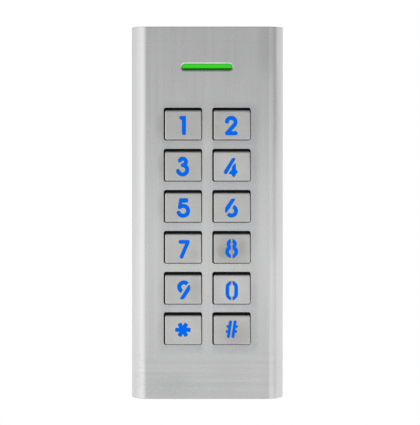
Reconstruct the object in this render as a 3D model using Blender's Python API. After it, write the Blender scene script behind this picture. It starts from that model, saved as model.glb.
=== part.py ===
"""Keypad access reader: a wall-mounted metal housing with twelve keys in six rows of two.

Frame: +Z up, the front looks along -Y, the wall is the plane Y = 0, and the origin is
the middle of the wall plate's back face. Lengths below are in millimetres. A depth is
measured from the housing's front face towards the wall. Meshes are made in metres.
"""

import math

import bmesh
import bpy
from mathutils import Vector
from mathutils.geometry import delaunay_2d_cdt

MM = 0.001

# Overall
WIDTH = 58.0
HEIGHT = 141.6
DEPTH = 22.5  # front face to wall
HALF_W = WIDTH / 2
HALF_H = HEIGHT / 2

# Housing: flat front, then flanks that follow a quarter ellipse in plan
FLAT_HALF_W = 23.0
FLANK_DEPTH = 16.0
FLANK_STEPS = 9
RIM_DEPTH = 22.0  # where the housing's walls end, just short of the wall
END_ROUND = 0.6
FRONT_WALL = 2.5
LEDGE_DEPTH = 14.0  # the ledge that the rear cover's gasket sits on
INNER_HALF_W, INNER_HALF_H = 25.0, 66.8
POCKET_HALF_W, POCKET_HALF_H = 26.7, 68.5

# Keys
KEY_PITCH_X = 18.48
KEY_PITCH_Z = 15.55
ROW_1_Z = HALF_H - 37.5
KEY_W, KEY_H, KEY_R = 13.9, 11.1, 0.9
KEY_PROUD = 1.6
KEY_WALL = 1.0
OPENING_W, OPENING_H, OPENING_R = 14.7, 12.45, 1.1
OPENING_LIFT = 0.375  # the caps sit low in their openings
FLANGE_W, FLANGE_H = 16.2, 14.4
FLANGE_FRONT, FLANGE_BACK = 2.8, 3.8
LEGEND_SCALE = 0.983
STENCIL_GAP = 0.09

# Status bar
LENS_Z = HALF_H - 15.4
LENS_W, LENS_H = 19.4, 2.2
LENS_SLOT_GAP = 0.12
LENS_PROUD = 0.35

# Silicone mat and board
MAT_FRONT, MAT_BACK = 6.8, 7.8
MAT_HALF_W, MAT_TOP, MAT_BOTTOM = 18.2, 41.3, -52.4
DOME_BASE_R, DOME_TOP_R, DOME_TOP = 4.0, 2.2, 4.1
LIGHT_SHIFT = 5.6  # from a key's centre to its light on the board
BOARD_FRONT, BOARD_BACK = 8.1, 9.7
BOARD_HALF_W, BOARD_HALF_H = 19.3, 60.0
BOARD_SCREWS = ((-16.6, 46.5), (16.6, 46.5), (-16.6, -56.0), (16.6, -56.0))

# Rear cover, gasket, wall plate
COVER_FRONT, COVER_BACK = 15.0, 17.0
COVER_HALF_W, COVER_HALF_H = 26.4, 68.2
COVER_SCREWS = ((-20.0, 63.4), (20.0, 63.4), (-20.0, -63.4), (20.0, -63.4))
CABLE_Z = -22.0
CABLE_BORE_R = 3.3
TAMPER_Z = -50.0
PLATE_FRONT, PLATE_BACK = 21.0, DEPTH
PLATE_HALF_W, PLATE_TOP, PLATE_BOTTOM = 26.2, 68.0, -67.6
PLATE_WINDOW_R = 6.5
SLOT_W, SLOT_L, SLOT_Z = 4.0, 9.0, 41.75
HOOK_X, HOOK_W = 12.0, 6.0
SECURITY_DEPTH = 18.6  # depth of the security screw's axis


# ---------------------------------------------------------------- outlines


def arc(cx, cz, radius, start, end, steps):
    """Points along an arc, angles in degrees, both ends included."""
    return [
        (
            cx + radius * math.cos(math.radians(start + (end - start) * i / steps)),
            cz + radius * math.sin(math.radians(start + (end - start) * i / steps)),
        )
        for i in range(steps + 1)
    ]


def circle(cx, cz, radius, steps=16):
    return arc(cx, cz, radius, 0.0, 360.0 * (steps - 1) / steps, steps - 1)


def rounded_rect(half_w, half_h, radius, steps=2, cx=0.0, cz=0.0):
    """Counterclockwise, seen with X to the right and Z up."""
    x, z = half_w - radius, half_h - radius
    corners = ((x, -z, -90), (x, z, 0), (-x, z, 90), (-x, -z, 180))
    return [
        point
        for px, pz, start in corners
        for point in arc(cx + px, cz + pz, radius, start, start + 90, steps)
    ]


def slot(half_w, half_h, steps=4, cx=0.0, cz=0.0):
    """A bar with full round ends, lying along X or Z."""
    return rounded_rect(half_w, half_h, min(half_w, half_h) - 1e-4, steps, cx, cz)


def softened(points, radius, steps=2):
    """A polygon with each corner replaced by a short curve."""
    out = []
    count = len(points)
    for i, point in enumerate(points):
        here = Vector(point)
        before, after = Vector(points[i - 1]), Vector(points[(i + 1) % count])
        a = here + (before - here).normalized() * min(
            radius, (before - here).length * 0.45
        )
        b = here + (after - here).normalized() * min(
            radius, (after - here).length * 0.45
        )
        for k in range(steps + 1):
            t = k / steps
            out.append(tuple((1 - t) ** 2 * a + 2 * t * (1 - t) * here + t * t * b))
    return out


def stroke(path, half_width, round_ends=True, steps=4):
    """The outline of a pen stroke along a path, counterclockwise."""
    points = [Vector(p) for p in path]
    count = len(points)
    sides = []
    for i in range(count):
        ahead = (points[min(i + 1, count - 1)] - points[max(i - 1, 0)]).normalized()
        sides.append(Vector((-ahead.y, ahead.x)) * half_width)
    right = [p - s for p, s in zip(points, sides)]
    left = [p + s for p, s in zip(points, sides)]
    out = list(right)
    if round_ends:
        tip, side = points[-1], sides[-1]
        ahead = Vector((side.y, -side.x))
        for k in range(1, steps):
            angle = math.pi * k / steps
            out.append(tip - side * math.cos(angle) + ahead * math.sin(angle))
    out += reversed(left)
    if round_ends:
        tip, side = points[0], sides[0]
        behind = Vector((-side.y, side.x))
        for k in range(1, steps):
            angle = math.pi * k / steps
            out.append(tip + side * math.cos(angle) + behind * math.sin(angle))
    return [tuple(p) for p in out]


def area(loop):
    return 0.5 * sum(
        a[0] * b[1] - b[0] * a[1] for a, b in zip(loop, loop[1:] + loop[:1])
    )


def merged(polygons):
    """The outer loops of the union of overlapping polygons."""
    points, faces = [], []
    for polygon in polygons:
        polygon = polygon if area(polygon) > 0 else polygon[::-1]
        faces.append(list(range(len(points), len(points) + len(polygon))))
        points += [Vector(p) for p in polygon]
    verts, _, tris, _, _, inside = delaunay_2d_cdt(points, [], faces, 1, 1e-5)
    border = {}
    for tri, owners in zip(tris, inside):
        if owners:
            for i, a in enumerate(tri):
                border[(a, tri[(i + 1) % len(tri)])] = True
    following = {a: b for a, b in border if (b, a) not in border}
    loops = []
    while following:
        first = next(iter(following))
        loop, at = [], first
        while at in following:
            loop.append(at)
            at = following.pop(at)
        loops.append([tuple(verts[i]) for i in loop])
    return [tidy(loop) for loop in loops if area(loop) > 0.05]


def tidy(loop, least=0.06):
    """A loop without points that lie on a straight run or crowd their neighbour."""
    kept = []
    for point in loop:
        if not kept or math.dist(point, kept[-1]) > least:
            kept.append(point)
    if math.dist(kept[0], kept[-1]) <= least:
        kept.pop()
    count = len(kept)
    return [
        p
        for i, p in enumerate(kept)
        if abs(area([kept[i - 1], p, kept[(i + 1) % count]])) > 0.002
    ]


def inset(loop, distance):
    """A counterclockwise loop moved inwards by a small distance."""
    out = []
    count = len(loop)
    for i, point in enumerate(loop):
        here = Vector(point)
        a = (here - Vector(loop[i - 1])).normalized()
        b = (Vector(loop[(i + 1) % count]) - here).normalized()
        inward = (Vector((-a.y, a.x)) + Vector((-b.y, b.x))).normalized()
        shift = distance / max(0.5, inward.dot(Vector((-a.y, a.x))))
        out.append(tuple(here + inward * shift))
    return out


# ---------------------------------------------------------------- characters
# Plain stencil digits: a closed counter is always held by a bridge.
PEN = 0.74


def mirrored(points):
    return [(-x, z) for x, z in reversed(points)]


def half_eight():
    """The left half of the 8, beside its middle bridge."""
    top, low, edge = 1.76, -1.20, -0.30
    return (
        arc(0, top, 1.93, 98.9, 214.5, 5)
        + arc(0, low, 2.45, 130.4, 263.0, 6)
        + [(edge, low - 1.04)]
        + arc(0, low, 1.08, 230, 130, 3)
        + [(edge, low + 1.04), (edge, top - 0.65)]
        + arc(0, top, 0.72, 215, 145, 2)
        + [(edge, top + 0.65)]
    )


def half_nought():
    return [
        (-0.30, 3.62), (-1.16, 3.26), (-2.03, 2.40), (-2.35, 1.66),
        (-2.35, -1.66), (-2.03, -2.44), (-1.14, -3.30), (-0.30, -3.64),
        (-0.30, -2.60), (-0.77, -2.12), (-1.11, -1.45), (-1.11, 1.47),
        (-0.77, 2.12), (-0.30, 2.58),
    ]  # fmt: skip


def six():
    cx, cz, mid = -0.09, -1.26, 1.77
    sweep = [
        (0.11, 3.47), (-0.22, 3.24), (-2.31, 0.22), (-2.60, -0.89), (-2.48, -1.80),
        (-2.11, -2.09), (-1.74, -1.63), (1.34, 3.12), (1.18, 3.48),
    ]  # fmt: skip
    bowl = arc(cx, cz, mid + PEN, -136, 64, 9) + arc(cx, cz, mid - PEN, 66, -141, 7)
    return [sweep, bowl]


def character(name):
    """The outlines of one character about its key's centre."""
    if name == "1":
        flag = [
            (-1.42, 2.86), (-1.00, 2.22), (-0.39, 2.05), (-0.39, 1.50),
            (1.13, 1.50), (1.13, 3.62), (-1.16, 3.60),
        ]  # fmt: skip
        shapes = [stroke([(0.37, 2.0), (0.37, -2.96)], 0.76), softened(flag, 0.3)]
    elif name == "2":
        shapes = [
            stroke(
                arc(-0.17, 1.40, 1.65, 175, -38, 8) + [(-1.75, -2.85)], PEN
            ),
            stroke([(-1.78, -2.90), (1.52, -2.90)], 0.75),
        ]
    elif name == "3":
        shapes = [
            stroke(arc(-0.10, 1.77, 1.23, 155, -58, 7), PEN),
            stroke(arc(-0.17, -1.28, 1.80, 66, -165, 9), PEN),
            stroke([(-0.10, 0.45), (0.75, 0.45)], 0.71),
        ]
    elif name == "4":
        shapes = [
            [
                (0.52, 3.50), (0.02, 3.18), (-2.78, -1.31), (-2.98, -1.80),
                (-2.93, -2.34), (-2.59, -2.68), (-2.04, -2.71), (-1.70, -2.34),
                (1.31, 2.88), (1.40, 3.28), (1.06, 3.52),
            ],
            [
                (1.43, 1.65), (0.07, -0.05), (0.07, -1.11), (-0.34, -1.31),
                (-1.11, -2.49), (-0.96, -2.74), (0.0, -2.76), (0.27, -3.52),
                (0.81, -3.87), (1.33, -3.47), (1.60, -2.66), (2.00, -2.46),
                (2.29, -1.85), (2.00, -1.23), (1.60, -1.06), (1.60, 1.06),
            ],
        ]  # fmt: skip
    elif name == "5":
        bar = [(-1.47, 3.62), (-1.10, 2.02), (1.97, 2.02), (1.97, 3.62)]
        stem = [
            (-1.42, 3.20), (-1.97, 0.00), (-1.84, -0.38), (-0.99, -0.62),
            (-0.60, -0.30), (-0.25, 2.30), (-0.30, 3.20),
        ]  # fmt: skip
        shapes = [
            softened(bar, 0.4),
            stem,
            stroke(arc(0.07, -1.23, 1.90, 112, -158, 10), PEN),
        ]
    elif name == "6":
        shapes = six()
    elif name == "7":
        shapes = [
            stroke([(-0.99, 2.56), (1.80, 2.56)], 0.72),
            stroke([(1.84, 2.52), (-0.59, -3.13)], 0.70),
        ]
    elif name == "8":
        shapes = [half_eight(), mirrored(half_eight())]
    elif name == "9":
        shapes = [[(0.22 - x, -0.20 - z) for x, z in shape] for shape in six()]
    elif name == "0":
        shapes = [
            [(x + 0.05, z - 0.34) for x, z in shape]
            for shape in (half_nought(), mirrored(half_nought()))
        ]
    elif name == "star":
        shapes = []
        for angle, reach in ((0, 2.92), (60, 2.70), (120, 2.70)):
            turn, lean = math.cos(math.radians(angle)), math.sin(math.radians(angle))
            shapes.append(
                [
                    (x * turn - z * lean - 0.05, x * lean + z * turn + 0.10)
                    for x, z in softened(
                        [(-reach, -0.76), (reach, -0.76), (reach, 0.76), (-reach, 0.76)],
                        0.35,
                        1,
                    )
                ]
            )
    else:
        shapes = []
        for top_x, side in ((-0.44, -1), (1.33, 1)):
            low_x = top_x - 0.82
            shapes.append(stroke([(low_x, -2.49), (top_x, 3.18)], 0.56, steps=3))
            for z, reach in ((1.38, 1.22), (-0.57, 1.22)):
                x = low_x + (top_x - low_x) * (z + 2.49) / 5.67
                shapes.append(stroke([(x, z), (x + side * 0.72, z)], 0.52, steps=3))
    return [
        [(x * LEGEND_SCALE, z * LEGEND_SCALE) for x, z in loop]
        for loop in merged(shapes)
    ]


# ---------------------------------------------------------------- solids


class Solid:
    """Builds one closed mesh from rings, walls between them and flat faces."""

    def __init__(self):
        self.bm = bmesh.new()

    def ring(self, outline, depth):
        """A loop of vertices at one depth."""
        return [
            self.bm.verts.new((x * MM, (depth - DEPTH) * MM, z * MM))
            for x, z in outline
        ]

    def ring_3d(self, points):
        return [self.bm.verts.new((x * MM, y * MM, z * MM)) for x, y, z in points]

    def wall(self, a, b):
        for i in range(len(a)):
            j = (i + 1) % len(a)
            self.bm.faces.new((a[i], a[j], b[j], b[i]))

    def loft(self, rings):
        for a, b in zip(rings, rings[1:]):
            self.wall(a, b)
        return rings

    def fill(self, outer, holes=(), axes=(0, 2)):
        """A flat face inside outer, open at each hole."""
        loops = [outer, *holes]
        verts = [v for loop in loops for v in loop]
        flat = [Vector((v.co[axes[0]], v.co[axes[1]])) / MM for v in verts]
        faces, at = [], 0
        for loop in loops:
            index = list(range(at, at + len(loop)))
            at += len(loop)
            if area([tuple(flat[i]) for i in index]) < 0:
                index.reverse()
            faces.append(index)
        _, _, tris, origin, _, inside = delaunay_2d_cdt(flat, [], faces, 1, 1e-7)
        for tri, owners in zip(tris, inside):
            if owners == [0]:
                self.bm.faces.new([verts[origin[i][0]] for i in tri])

    def done(self, name, look, at=(0.0, 0.0, 0.0), parent=None, smooth=None):
        """The finished object, with its origin at a point given in metres."""
        bmesh.ops.recalc_face_normals(self.bm, faces=self.bm.faces[:])
        bmesh.ops.translate(self.bm, vec=-Vector(at), verts=self.bm.verts[:])
        mesh = bpy.data.meshes.new(name)
        self.bm.to_mesh(mesh)
        self.bm.free()
        return placed(name, mesh, look, at, parent, smooth)


def placed(name, mesh, look, at=(0.0, 0.0, 0.0), parent=None, smooth=None):
    obj = bpy.data.objects.new(name, mesh)
    bpy.context.scene.collection.objects.link(obj)
    if parent is not None:
        obj.parent = parent
        obj.location = Vector(at) - parent.location
    else:
        obj.location = at
    if look is not None:
        mesh.materials.append(material(name, *look))
    if smooth is not None:
        mesh.shade_smooth()
        mesh.set_sharp_from_angle(angle=math.radians(smooth))
    return obj


def material(name, colour, roughness, metallic, emission=0.0):
    mat = bpy.data.materials.new(name + "_look")
    mat.use_nodes = True
    shader = mat.node_tree.nodes["Principled BSDF"]
    shader.inputs["Base Color"].default_value = (*colour, 1.0)
    shader.inputs["Roughness"].default_value = roughness
    shader.inputs["Metallic"].default_value = metallic
    if emission:
        shader.inputs["Emission Color"].default_value = (*colour, 1.0)
        shader.inputs["Emission Strength"].default_value = emission
    return mat


ZINC = ((0.62, 0.62, 0.61), 0.34, 1.0)
KEY_METAL = ((0.60, 0.59, 0.57), 0.32, 1.0)
STEEL = ((0.55, 0.56, 0.57), 0.38, 1.0)
SCREW_STEEL = ((0.50, 0.50, 0.51), 0.30, 1.0)
BLUE = ((0.0, 0.14, 1.0), 0.40, 0.0, 1.0)
GREEN = ((0.05, 0.65, 0.03), 0.35, 0.0, 1.0)
SILICONE = ((0.55, 0.57, 0.60), 0.60, 0.0)
LAMINATE = ((0.02, 0.17, 0.07), 0.45, 0.0)
BLACK_PLASTIC = ((0.02, 0.02, 0.02), 0.50, 0.0)
WHITE_PLASTIC = ((0.80, 0.79, 0.74), 0.50, 0.0)
RUBBER = ((0.02, 0.02, 0.02), 0.75, 0.0)
COPPER = ((0.80, 0.34, 0.14), 0.35, 1.0)
CLEAR = ((0.75, 0.78, 0.80), 0.15, 0.0)


def cutter(solid, name):
    """A helper shape for a Boolean: drawn as wire and left out of renders."""
    obj = solid.done(name, None)
    obj.hide_render = True
    obj.display_type = "WIRE"
    return obj


def boolean(target, tool, operation):
    modifier = target.modifiers.new(tool.name, "BOOLEAN")
    modifier.operation = operation
    modifier.solver = "EXACT"
    modifier.object = tool


def prism(solid, outline, front, back):
    a, b = solid.ring(outline, front), solid.ring(outline, back)
    solid.wall(a, b)
    solid.fill(a)
    solid.fill(b)


def turned(solid, cx, cz, profile, steps=16, cap_ends=True):
    """Rings round an axis along depth; profile holds (radius, depth) pairs."""
    rings = [solid.ring(circle(cx, cz, r, steps), d) for r, d in profile]
    solid.loft(rings)
    if cap_ends:
        solid.fill(rings[0])
        solid.fill(rings[-1])
    else:
        solid.wall(rings[-1], rings[0])
    return rings


def block(solid, x0, x1, z0, z1, front, back, chamfer=0.0, chamfer_front=True):
    """A box whose front or back edges are chamfered."""

    def outline(e):
        return [(x0 + e, z0 + e), (x1 - e, z0 + e), (x1 - e, z1 - e), (x0 + e, z1 - e)]

    rings = [(0.0, front), (0.0, back)]
    if chamfer:
        if chamfer_front:
            rings = [(chamfer, front), (0.0, front + chamfer), (0.0, back)]
        else:
            rings = [(0.0, front), (0.0, back - chamfer), (chamfer, back)]
    made = solid.loft([solid.ring(outline(e), d) for e, d in rings])
    solid.fill(made[0])
    solid.fill(made[-1])


# ---------------------------------------------------------------- housing


def plan(offset):
    """The housing's outline seen from above, as (x, depth), moved in by offset."""
    across, deep = HALF_W - FLAT_HALF_W, FLANK_DEPTH
    right = [(HALF_W - offset, RIM_DEPTH)]
    for i in range(FLANK_STEPS + 1):
        t = math.radians(90.0 * i / FLANK_STEPS)
        nx, nd = math.cos(t) / across, math.sin(t) / deep
        size = math.hypot(nx, nd)
        right.append(
            (
                FLAT_HALF_W + across * math.cos(t) - offset * nx / size,
                deep - deep * math.sin(t) + offset * nd / size,
            )
        )
    return right + [(-x, d) for x, d in reversed(right)]


def key_centres():
    names = ("1", "2", "3", "4", "5", "6", "7", "8", "9", "0", "star", "hash")
    for i, name in enumerate(names):
        x = (-0.5 if i % 2 == 0 else 0.5) * KEY_PITCH_X
        yield name, x, ROW_1_Z - (i // 2) * KEY_PITCH_Z


def front_housing(parent):
    shell = Solid()
    rings = []
    for z, offset in (
        (-HALF_H, END_ROUND),
        (-HALF_H + 0.29 * END_ROUND, 0.29 * END_ROUND),
        (-HALF_H + END_ROUND, 0.0),
        (HALF_H - END_ROUND, 0.0),
        (HALF_H - 0.29 * END_ROUND, 0.29 * END_ROUND),
        (HALF_H, END_ROUND),
    ):
        rings.append(shell.ring_3d([(x, d - DEPTH, z) for x, d in plan(offset)]))
    shell.loft(rings)
    shell.fill(rings[0], axes=(0, 1))
    shell.fill(rings[-1], axes=(0, 1))
    housing = shell.done("front_housing", ZINC, parent=parent, smooth=35)

    hollow = Solid()
    steps = (
        (22.8, 66.2, FRONT_WALL),
        (23.8, 66.5, 3.5),
        (INNER_HALF_W, INNER_HALF_H, 6.2),
        (INNER_HALF_W, INNER_HALF_H, LEDGE_DEPTH),
        (POCKET_HALF_W, POCKET_HALF_H, LEDGE_DEPTH),
        (POCKET_HALF_W, POCKET_HALF_H, DEPTH + 2.0),
    )
    loops = hollow.loft(
        [hollow.ring(rounded_rect(w, h, 2.0, 2), d) for w, h, d in steps]
    )
    hollow.fill(loops[0])
    hollow.fill(loops[-1])
    boolean(housing, cutter(hollow, "hollow_tool"), "DIFFERENCE")

    # Screw posts, rooted in the front wall
    posts = Solid()
    for x, z in COVER_SCREWS:
        turned(posts, x, z, ((2.6, 1.6), (2.6, 13.6)), 10)
    for x, z in BOARD_SCREWS:
        turned(posts, x, z, ((2.1, 1.6), (2.1, 7.8)), 8)
    boolean(housing, cutter(posts, "post_tool"), "UNION")

    # Key openings, the status slot, blind screw holes, hook pockets, security screw
    holes = Solid()
    for _, x, z in key_centres():
        prism(
            holes,
            rounded_rect(
                OPENING_W / 2, OPENING_H / 2, OPENING_R, 2, x, z + OPENING_LIFT
            ),
            -1.0,
            FRONT_WALL + 0.4,
        )
    prism(
        holes,
        slot(
            LENS_W / 2 + LENS_SLOT_GAP, LENS_H / 2 + LENS_SLOT_GAP, 4, 0.0, LENS_Z
        ),
        -1.0,
        FRONT_WALL + 0.2,
    )
    for x, z in COVER_SCREWS:
        turned(holes, x, z, ((1.35, 4.5), (1.35, 14.4)), 8)
    for x, z in BOARD_SCREWS:
        turned(holes, x, z, ((1.15, 3.4), (1.15, 8.2)), 8)
    for side in (-1, 1):
        x = side * HOOK_X
        half = HOOK_W / 2 + 0.4
        block(holes, x - half, x + half, POCKET_HALF_H - 0.5, 69.8, 18.0, 20.3)
    y = SECURITY_DEPTH - DEPTH
    sunk = [
        holes.ring_3d([(x, y + dy, z) for x, dy in circle(0, 0, r, 16)])
        for r, z in (
            (2.6, -HALF_H - 1.0),
            (2.6, -69.6),
            (1.5, -69.6),
            (1.5, -POCKET_HALF_H + 0.6),
        )
    ]
    holes.loft(sunk)
    holes.fill(sunk[0], axes=(0, 1))
    holes.fill(sunk[-1], axes=(0, 1))
    boolean(housing, cutter(holes, "opening_tool"), "DIFFERENCE")
    return housing


# ---------------------------------------------------------------- keys


def key_cap(name, cx, cz, loops, slide):
    """A cast cap with its character cut through, hollow behind, flanged at the back."""
    cap = Solid()

    def at(half_w, half_h, radius, depth):
        return cap.ring(rounded_rect(half_w, half_h, radius, 2, cx, cz), depth)

    half_w, half_h = KEY_W / 2, KEY_H / 2
    front = at(half_w - 0.5, half_h - 0.5, KEY_R - 0.3, -KEY_PROUD)
    outside = [
        front,
        at(half_w - 0.12, half_h - 0.12, KEY_R, -KEY_PROUD + 0.2),
        at(half_w, half_h, KEY_R, -KEY_PROUD + 0.6),
        at(half_w, half_h, KEY_R, FLANGE_FRONT),
        at(FLANGE_W / 2, FLANGE_H / 2, KEY_R, FLANGE_FRONT),
        at(FLANGE_W / 2, FLANGE_H / 2, KEY_R, FLANGE_BACK),
        at(half_w - KEY_WALL, half_h - KEY_WALL, 0.6, FLANGE_BACK),
        at(half_w - KEY_WALL, half_h - KEY_WALL, 0.6, -KEY_PROUD + KEY_WALL),
    ]
    cap.loft(outside)
    cuts = [[(x + cx, z + cz) for x, z in loop] for loop in loops]
    in_front = [cap.ring(loop, -KEY_PROUD) for loop in cuts]
    behind = [cap.ring(loop, -KEY_PROUD + KEY_WALL) for loop in cuts]
    for a, b in zip(in_front, behind):
        cap.wall(a, b)
    cap.fill(front, in_front)
    cap.fill(outside[-1], behind)
    return cap.done(name, KEY_METAL, slide.location, slide, smooth=40)


def key_legend(name, cx, cz, loops, slide):
    """The light guide in the cap: a block with the character standing on its front."""
    guide = Solid()
    half_w, half_h = KEY_W / 2 - KEY_WALL - 0.1, KEY_H / 2 - KEY_WALL - 0.1
    face = -KEY_PROUD + KEY_WALL + 0.1
    back = guide.ring(rounded_rect(half_w, half_h, 0.6, 1, cx, cz), 3.7)
    front = guide.ring(rounded_rect(half_w, half_h, 0.6, 1, cx, cz), face)
    guide.wall(back, front)
    guide.fill(back)
    raised = [
        [(x + cx, z + cz) for x, z in inset(loop, STENCIL_GAP)] for loop in loops
    ]
    low = [guide.ring(loop, face) for loop in raised]
    high = [guide.ring(loop, -KEY_PROUD + 0.08) for loop in raised]
    for a, b in zip(low, high):
        guide.wall(a, b)
        guide.fill(b)
    guide.fill(front, low)
    return guide.done(name, BLUE, slide.location, slide, smooth=40)


# ---------------------------------------------------------------- inside


def status_lens(parent):
    lens = Solid()
    rings = lens.loft(
        [
            lens.ring(slot(LENS_W / 2 - e, LENS_H / 2 - e, 4, 0.0, LENS_Z), d)
            for e, d in ((0.4, -LENS_PROUD), (0.0, 0.05), (0.0, 2.8))
        ]
    )
    lens.fill(rings[0])
    flange = lens.loft(
        [
            rings[-1],
            lens.ring(slot(11.4, 2.5, 4, 0.0, LENS_Z), 2.8),
            lens.ring(slot(11.4, 2.5, 4, 0.0, LENS_Z), 3.8),
            lens.ring(slot(9.0, 1.0, 4, 0.0, LENS_Z), 3.8),
            lens.ring(slot(9.0, 1.0, 4, 0.0, LENS_Z), 5.6),
        ]
    )
    lens.fill(flange[-1])
    return lens.done("status_lens", GREEN, parent=parent, smooth=40)


def key_mat(parent):
    mat = Solid()
    height, middle = (MAT_TOP - MAT_BOTTOM) / 2, (MAT_TOP + MAT_BOTTOM) / 2
    edge = rounded_rect(MAT_HALF_W, height, 1.5, 2, 0.0, middle)
    front, back = mat.ring(edge, MAT_FRONT), mat.ring(edge, MAT_BACK)
    mat.wall(front, back)
    in_front, behind = [], []
    for _, x, z in key_centres():
        dome = mat.loft(
            [
                mat.ring(circle(x, z, r, 10), d)
                for r, d in (
                    (DOME_BASE_R, MAT_FRONT),
                    (DOME_TOP_R + 0.5, 5.0),
                    (DOME_TOP_R, DOME_TOP),
                )
            ]
        )
        mat.fill(dome[-1])
        window = [
            (x + LIGHT_SHIFT + dx, z + dz)
            for dx, dz in ((-1.2, -1.0), (1.2, -1.0), (1.2, 1.0), (-1.2, 1.0))
        ]
        a, b = mat.ring(window, MAT_FRONT), mat.ring(window, MAT_BACK)
        mat.wall(a, b)
        in_front += [dome[0], a]
        behind.append(b)
    mat.fill(front, in_front)
    mat.fill(back, behind)
    return mat.done("key_mat", SILICONE, parent=parent, smooth=40)


def circuit_board(parent):
    board = Solid()
    edge = rounded_rect(BOARD_HALF_W, BOARD_HALF_H, 1.5, 2)
    front, back = board.ring(edge, BOARD_FRONT), board.ring(edge, BOARD_BACK)
    board.wall(front, back)
    in_front, behind = [], []
    for x, z in BOARD_SCREWS:
        a = board.ring(circle(x, z, 1.1, 10), BOARD_FRONT)
        b = board.ring(circle(x, z, 1.1, 10), BOARD_BACK)
        board.wall(a, b)
        in_front.append(a)
        behind.append(b)
    # The soldered key lights stand in the mat's windows.
    for _, x, z in key_centres():
        base = [
            (x + LIGHT_SHIFT + dx, z + dz)
            for dx, dz in ((-0.8, -0.6), (0.8, -0.6), (0.8, 0.6), (-0.8, 0.6))
        ]
        low, high = board.ring(base, BOARD_FRONT), board.ring(base, 7.3)
        board.wall(low, high)
        board.fill(high)
        in_front.append(low)
    board.fill(front, in_front)
    board.fill(back, behind)
    return board.done("circuit_board", LAMINATE, parent=parent)


def machine_screw(name, x, z, head, shank, tip, parent):
    """A screw driven towards the front: head is (radius, front, back) depths."""
    radius, under, top = head
    screw = Solid()
    rings = screw.loft(
        [
            screw.ring(circle(x, z, r, 10), d)
            for r, d in (
                (shank * 0.6, tip),
                (shank, tip + 0.5),
                (shank, under),
                (radius, under),
                (radius, top - 0.25),
                (radius - 0.3, top),
            )
        ]
    )
    screw.fill(rings[0])
    socket = [
        screw.ring(circle(x, z, radius * 0.45, 6), d) for d in (top, top - 0.6)
    ]
    screw.wall(*socket)
    screw.fill(socket[1])
    screw.fill(rings[-1], [socket[0]])
    return screw.done(name, SCREW_STEEL, parent=parent, smooth=40)


def chip(parent):
    """The controller: a flat body on twenty short leads."""
    body = Solid()
    cx, cz, half = -5.0, -4.0, 4.0
    rings = body.loft(
        [
            body.ring(rounded_rect(half - e, half - e, 0.5, 1, cx, cz), d)
            for e, d in ((0.15, 10.0), (0.0, 10.5), (0.0, 10.9), (0.2, 11.4))
        ]
    )
    body.fill(rings[0])
    body.fill(rings[-1])
    made = body.done("controller_chip", BLACK_PLASTIC, parent=parent)
    leads = Solid()
    for side in (-1, 1):
        for i in range(5):
            at = (i - 2) * 1.4
            outer, inner = side * (half + 1.0), side * (half - 0.6)
            low, high = min(outer, inner), max(outer, inner)
            block(leads, cx + low, cx + high, cz + at - 0.3, cz + at + 0.3, 10.55, 10.8)
            block(leads, cx + at - 0.3, cx + at + 0.3, cz + low, cz + high, 10.55, 10.8)
    boolean(made, cutter(leads, "lead_tool"), "UNION")
    return made


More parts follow.
